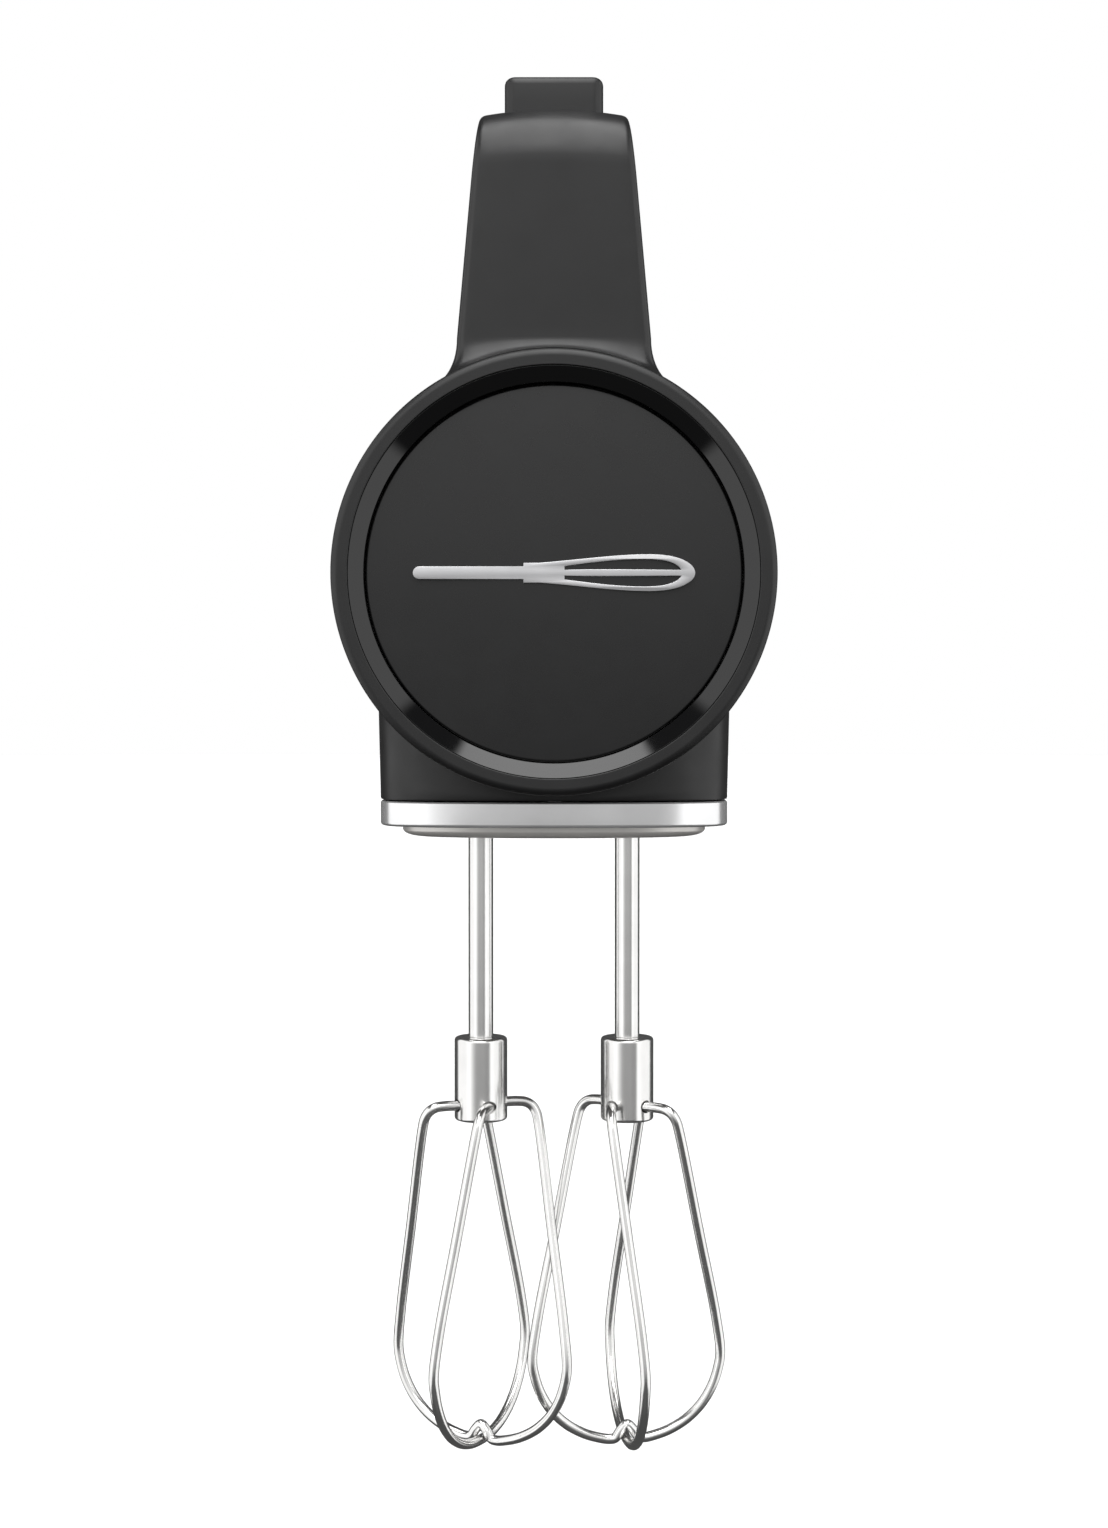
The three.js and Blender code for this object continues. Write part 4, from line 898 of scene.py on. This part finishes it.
def build_base():
    """The chrome band, the dished plate with its screws, and the two shaft seals."""
    round_off = 0.7
    profile = [(round_off * (1 - s), BAND_LOW.z + round_off * c) for c, s in quarter(8)]
    profile += [(0, BAND_HIGH.z - 0.3), (0.3, BAND_HIGH.z), (PLATE_INSET - 0.4, BAND_HIGH.z),
                (PLATE_INSET - 0.4, BAND_LOW.z + 0.1), (PLATE_INSET - 0.7, BAND_LOW.z)]
    band = loft("trim_band_fine", [[at(p.x, p.y, z) for p in footprint(inset)] for inset, z in profile],
                loop=True)
    add(band, "housing", "chrome_trim", "trim_band")

    dish, rise = 3.2, 1.5
    profile = [(dish * (1 - s), PLATE_LOW.z + rise * c) for c, s in quarter(12)] + [(0, PLATE_HIGH.z)]
    plate = loft("bottom_plate_fine", [[at(p.x, p.y, z) for p in footprint(PLATE_INSET + inset)]
                                       for inset, z in profile])
    under, over = 130, 145
    for x in AXES.values():
        cut(plate, circle(8.3, x, 0, 64), under, over)
    for node in ("bottom_screw_front", "bottom_screw_rear"):
        y, z = add_screw(node)
        cut(plate, circle(SCREW_WELL_R, 0, y), under, z + 1.5)
        cut(plate, circle(SCREW_R + 0.4, 0, y), under, over)
    add(plate, "housing", "base_metal", "bottom_plate")

    for side, x in AXES.items():
        node = f"shaft_seal_{side}"
        low, high = span(node)
        seal = turned(f"{node}_fine", [
            (6.6, low.z, 0), (8, low.z, 0.3), (8, high.z, 0.2), (5.5, high.z, 0.2),
            (5.5, low.z + 0.9, 0.3), (6.2, low.z + 0.6, 0.2), (6.4, low.z, 0.2), (6.6, low.z, 0),
        ], 72, (x, 0))
        add(seal, "housing", "soft_rubber", node)


build_housing()
build_front()
build_base()


# ---- rear: vents, heel pad, battery and its release ----
def segment(radius, z_from, z_to):
    """The part of a disc about the barrel's axis between two heights, as an (x, z) outline."""
    count = 72
    low = math.asin(max(-1, (z_from - BARREL_Z) / radius))
    high = math.asin(min(1, (z_to - BARREL_Z) / radius))
    right = [low + (high - low) * k / count for k in range(count + 1)]
    side = [(radius * math.cos(a), BARREL_Z + radius * math.sin(a)) for a in right]
    other = [(-x, z) for x, z in reversed(side)]
    if z_to >= BARREL_Z + radius:
        other = other[1:]
    if z_from <= BARREL_Z - radius:
        other = other[:-1]
    return side + other


def build_rear():
    """The rear cover with its vents and heel pad, and the battery with its release button."""
    cover = extruded("rear_cover_fine", segment(REAR_R, 0, REAR_HIGH.z), 94, REAR_HIGH.y, "Y", 0.8)
    axle = sum(corner.z for corner in span("motor_shaft")) / 2
    for i in range(-2, 3):
        cut(cover, rounded_rectangle(11 - abs(i), 1, 0.95, 0, axle + 4 + i * 4), 90, 100, "Y")
    add(cover, "housing", "housing_plastic", "rear_cover")

    low, high = span("heel_pad")
    turns = [math.radians(212 + 116 * k / 60) for k in range(61)]
    pad = [(34 * math.cos(a), BARREL_Z + 34 * math.sin(a)) for a in turns]
    pad += [(28.5 * math.cos(a), BARREL_Z + 28.5 * math.sin(a)) for a in reversed(turns)]
    add(extruded("heel_pad_fine", pad, low.y, high.y, "Y", 0.5), "housing", "soft_rubber", "heel_pad")

    low, high = span("battery_case")
    half_disc = segment(CAP_HIGH.x, CAP_LOW.z, BARREL_Z + CAP_HIGH.x)
    case = extruded("battery_case_fine", half_disc, low.y, high.y, "Y", 0.8)
    groove_top = CAP_LOW.z + 0.7
    for x in (-20, 20):
        groove = [(x - 0.5, 180), (x + 0.5, 180), (x + 0.5, groove_top), (x - 0.5, groove_top)]
        cut(case, groove, low.y - 1, high.y - 6, "Y")
    add(case, "battery", "inner_plastic", "battery_case", "battery_cell_left", "battery_cell_middle",
        "battery_cell_right")

    cap = extruded("battery_cap_fine", half_disc, CAP_LOW.y, CAP_HIGH.y, "Y", 0.8)
    low, high = span("release_button")
    z = (low.z + high.z) / 2 - 0.8
    cut(cap, rounded_rectangle(8.4, 3.6, 3, 0, z), 80, 110, "Y")
    add(cap, "battery", "housing_plastic", "battery_cap")
    outline = rounded_rectangle(8, 3.2, 2.7, 0, z)
    button = extruded("release_button_fine", outline, low.y, high.y, "Y", 0.6)
    for x in (-3, -1, 1, 3):
        cut(button, rounded_rectangle(0.35, 2.1, 0.3, x, z, 3), high.y - 0.35, high.y + 1, "Y")
    add(button, "release_button_body", "button_plastic", "release_button")


build_rear()


# ---- beaters ----
SHAFT_R = 2.71
COLLAR_R = 5.77
WIRE_R = 1.1
CAGE_R = 21.1
ARM_Z = 75.0
BOWL_POWER = 2.2
HUMP_HALF = 3.3
BEATERS = {"left": {"hand": -1, "phase": -26.6}, "right": {"hand": 1, "phase": 9}}
LOOPS = {
    "hump": {"turn": 0, "twist": 47.6, "corner_r": 12.8, "lead": 7, "shoulder": 22, "hump": 3.3},
    "plain": {"turn": 90, "twist": 27.5, "corner_r": 12.5, "lead": 18, "shoulder": 23, "hump": 0},
}


def polar(radius, degrees, z):
    angle = math.radians(degrees)
    return at(radius * math.cos(angle), radius * math.sin(angle), z)


def loop_arm(beater, loop):
    """A loop's level arm at its top: the bend, the hole in the collar and the way between them."""
    base, twist = beater["phase"] + loop["turn"], beater["hand"] * loop["twist"]
    corner = polar(loop["corner_r"], base - twist, ARM_Z)
    hole = polar(COLLAR_R, base - twist - beater["hand"] * loop["lead"], ARM_Z)
    return corner, hole, (hole - corner).normalized()


def loop_path(beater, loop):
    """Centre line of one wire loop about the beater's axis."""
    corner, hole, inward = loop_arm(beater, loop)
    widest = beater["phase"] + loop["turn"]
    shoulder = polar(CAGE_R, widest, loop["shoulder"])
    down = (shoulder - corner).normalized()
    arm_end, line_start = corner + inward * 4, corner + down * 4.6

    def bowl(radius):
        fall = (1 - (radius / CAGE_R) ** BOWL_POWER) ** (1 / BOWL_POWER)
        hump = loop["hump"] * (1 + math.cos(math.pi * min(1, radius / HUMP_HALF))) / 2
        return polar(radius, widest, loop["shoulder"] - (loop["shoulder"] - WIRE_R) * fall + hump)

    half = [hole + inward * 1.3]
    half += [quadratic(arm_end, corner, line_start, k / 4) for k in range(5)]
    half += [shoulder - down * 26, shoulder - down * 6]
    half += [bowl(CAGE_R * part) for part in (0.995, 0.97, 0.91, 0.8, 0.64, 0.45, 0.29, 0.19)]
    if loop["hump"]:
        half += [bowl(2.6), bowl(1.3)]
    other = [at(-p.x, -p.y, p.z) for p in reversed(half)]
    return smooth_path(half + [bowl(0)] + other)


def build_beater(side, x):
    """One beater: shaft with its wings, drilled collar and two wire loops."""
    beater = BEATERS[side]
    body = f"beater_{side}_body"
    node = f"beater_shaft_{side}"
    low, high = span(node)
    groove_r, top = SHAFT_R - 0.6, high.z
    shaft = turned(f"{node}_rod", [
        (0, low.z, 0), (SHAFT_R, low.z, 0.3), (SHAFT_R, top - 6, 0.2), (groove_r, top - 5.4, 0.2),
        (groove_r, top - 4, 0.2), (SHAFT_R, top - 3.4, 0.2), (SHAFT_R, top - 1, 0.4),
        (SHAFT_R - 1, top, 0.4), (0, top, 0),
    ], 64, (x, 0))
    wings = extruded("wings", rounded_rectangle(3.7, 0.7, 0.3, x, 0, 3), top - 14, top - 9, bevel=0.2)
    add(join_pieces(f"{node}_fine", shaft, wings), body, "beater_steel", node)

    node = f"beater_collar_{side}"
    low, high = span(node)
    bore = SHAFT_R + 0.12
    collar = turned(f"{node}_fine", [
        (bore + 0.5, low.z, 0), (COLLAR_R, low.z, 0.7), (COLLAR_R, high.z, 0.8), (bore, high.z, 0.3),
        (bore, low.z, 0.3), (bore + 0.5, low.z, 0),
    ], 96, (x, 0))
    for loop in LOOPS.values():
        _, hole, inward = loop_arm(beater, loop)
        for sign in (1, -1):
            ends = [hole + inward * step for step in (-3, 2.2)]
            ends = [at(x + sign * p.x, sign * p.y, p.z) for p in ends]
            subtract(collar, tube("cutter", ends, WIRE_R + GAP, 28))
    add(collar, body, "beater_steel", node)

    for name, loop in LOOPS.items():
        node = f"{name}_wire_{side}"
        path = [p + at(x, 0, 0) for p in loop_path(beater, loop)]
        add(tube(f"{node}_fine", path, WIRE_R), body, "beater_steel", node)


for beater_side, beater_x in AXES.items():
    build_beater(beater_side, beater_x)


def build_spindles():
    """The hollow spindles, each with a slot for the wings of its beater."""
    for side, x in AXES.items():
        node = f"spindle_{side}"
        low, high = span(node)
        sleeve = turned(f"{node}_fine", [
            (4.1, low.z, 0), (5.2, low.z, 0.5), (5.2, high.z, 0.3), (3.1, high.z, 0.3),
            (3.1, low.z, 0.4), (4.1, low.z, 0),
        ], 72, (x, 0))
        slot_top = 164.5
        cut(sleeve, rounded_rectangle(4.1, 1.1, 0.2, x, 0, 2), low.z - 1, slot_top)
        add(sleeve, f"{node}_body", "screw_steel", node)


build_spindles()


# ---- the CAD nodes that stay ----
KEPT = {
    "screw_steel": ["motor_shaft", "eject_pin_left", "eject_pin_right"],
    "inner_plastic": ["speed_switch", "eject_rod", "eject_guide", "motor_end_cap", "gear_case",
                      "gear_case_cover", "cooling_fan"],
    "bronze": ["worm", "worm_bush", "lower_bush_left", "lower_bush_right", "upper_bush_left",
               "upper_bush_right"],
    "gear_plastic": ["gear_left", "gear_right"],
    "motor_steel": ["motor_can"],
    "ferrite": ["stator_magnet"],
    "winding_copper": ["rotor_core", "commutator"],
    "circuit_board": ["control_board"],
    "lead_jacket": ["switch_lead"],
}
for finish, kept_nodes in KEPT.items():
    for kept in kept_nodes:
        for material_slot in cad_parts[kept].material_slots:
            material_slot.material = LOOK[finish]


# ---- floor, light and camera ----
def build_floor():
    """A wide disc of pale paper, well below the mixer, which throws no light back at it."""
    make = Nodes("floor_paper", (0.93, 0.93, 0.93), 0.9)
    make.colours(make.noise(60, 2), (0.92, 0.92, 0.92), (0.94, 0.94, 0.94))
    make.bumps((make.noise(1.5, 3), 0.1, 0.05))
    top, thickness, radius = -120, 30, 20000
    floor = extruded("floor", circle(radius, 0, 0, 96), top - thickness, top)
    floor.data.materials.append(make.material)
    floor.visible_glossy = False
    floor.visible_diffuse = False


class Sky:
    """Builds the studio as a brightness for each direction round the mixer."""

    def __init__(self, tree):
        self.tree = tree
        direction = tree.nodes.new("ShaderNodeTexCoord").outputs["Generated"]
        parts = tree.nodes.new("ShaderNodeSeparateXYZ")
        tree.links.new(direction, parts.inputs[0])
        self.x, self.y, self.z = parts.outputs

    def math(self, operation, first, *others):
        """Maths nodes in a chain. Each value is a number or another node's output."""
        for other in others or (0.0,):
            node = self.tree.nodes.new("ShaderNodeMath")
            node.operation = operation
            for socket, value in zip(node.inputs, (first, other)):
                if isinstance(value, (int, float)):
                    socket.default_value = value
                else:
                    self.tree.links.new(value, socket)
            first = node.outputs[0]
        return first

    def ramp(self, value, low, high, at_low=0.0, at_high=1.0):
        """A smooth change from one level to another as the value goes from low to high."""
        node = self.tree.nodes.new("ShaderNodeMapRange")
        node.interpolation_type = "SMOOTHSTEP"
        levels = {"From Min": low, "From Max": high, "To Min": at_low, "To Max": at_high}
        for name, number in levels.items():
            node.inputs[name].default_value = number
        self.tree.links.new(value, node.inputs["Value"])
        return node.outputs["Result"]

    def mixed(self, value, factor, other):
        """The value plus so many times the other."""
        return self.math("ADD", value, self.math("MULTIPLY", other, factor))

    def overhead(self, strength):
        """A softbox over the mixer, 26 degrees to each side of straight up, dimmer towards its front."""
        beside = self.mixed(self.math("ABSOLUTE", self.x), -0.49, self.z)
        behind = self.mixed(self.y, -0.2, self.z)
        ahead = self.mixed(self.y, 1.9, self.z)
        slope = self.mixed(self.y, 0.8, self.z)
        return self.math("MULTIPLY", self.ramp(beside, 0.03, -0.03), self.ramp(behind, 0.08, -0.08),
                         self.ramp(ahead, -0.15, 0.15), self.ramp(slope, -0.3, 0.6, 0.7, 1.0), strength)

    def sides(self, strength):
        """A tall softbox on each side, from level with the nose to a little behind the mixer."""
        reach = self.math("ABSOLUTE", self.x)
        over = self.mixed(self.z, -1, reach)
        under = self.mixed(self.z, 0.7, reach)
        return self.math("MULTIPLY", self.ramp(over, 0.05, -0.05), self.ramp(under, -0.05, 0.05),
                         self.ramp(self.y, 0.5, 0.4), self.beside(), strength)

    def beside(self):
        """Nought in front of the mixer and one beside it, with a softer change on the left."""
        left = self.math("MULTIPLY", self.ramp(self.x, 0.02, -0.02), self.ramp(self.y, -0.98, -0.6))
        right = self.math("MULTIPLY", self.ramp(self.x, -0.02, 0.02), self.ramp(self.y, -0.78, -0.70))
        return self.math("ADD", left, right)

    def front(self, low, level, high):
        """The white room behind the camera: dark floor, brighter above the horizon."""
        floor = self.ramp(self.z, -0.35, -0.06, low, level)
        room = self.ramp(self.z, -0.05, 0.16, 0.0, high - level)
        right = self.ramp(self.x, 0.2, 0.6, 1.0, 0.75)
        return self.math("MULTIPLY", self.math("ADD", floor, room), self.ramp(self.y, -0.3, -0.8), right)


def build_world():
    """The studio's light, with a plain white background where the camera looks past the mixer."""
    world = bpy.data.worlds.new("studio")
    bpy.context.scene.world = world
    world.use_nodes = True
    tree = world.node_tree
    tree.nodes.clear()
    output = tree.nodes.new("ShaderNodeOutputWorld")
    mix = tree.nodes.new("ShaderNodeMixShader")
    rays = tree.nodes.new("ShaderNodeLightPath")
    lit, seen = (tree.nodes.new("ShaderNodeBackground") for _ in range(2))
    for background in (lit, seen):
        background.inputs["Color"].default_value = (1, 1, 1, 1)
    sky = Sky(tree)
    room = sky.math("ADD", sky.overhead(3.8), sky.sides(1.15), sky.front(0.04, 0.44, 0.88), 0.08)
    for source, target in (
            (room, lit.inputs["Strength"]), (rays.outputs["Is Camera Ray"], mix.inputs[0]),
            (lit.outputs[0], mix.inputs[1]), (seen.outputs[0], mix.inputs[2]),
            (mix.outputs[0], output.inputs["Surface"])):
        tree.links.new(source, target)


def build_camera():
    """A pinhole view from in front of the nose, one degree down."""
    data = bpy.data.cameras.new("view")
    data.sensor_width = 36
    data.lens = 53.06
    data.clip_end = 100
    camera = bpy.data.objects.new("view", data)
    camera.location = ORIGIN + at(0, -492, 158) * MM
    camera.rotation_euler = (math.radians(89), 0, 0)
    bpy.context.scene.collection.objects.link(camera)
    bpy.context.scene.camera = camera


build_floor()
build_world()
build_camera()
bpy.context.scene.view_settings.view_transform = "Standard"
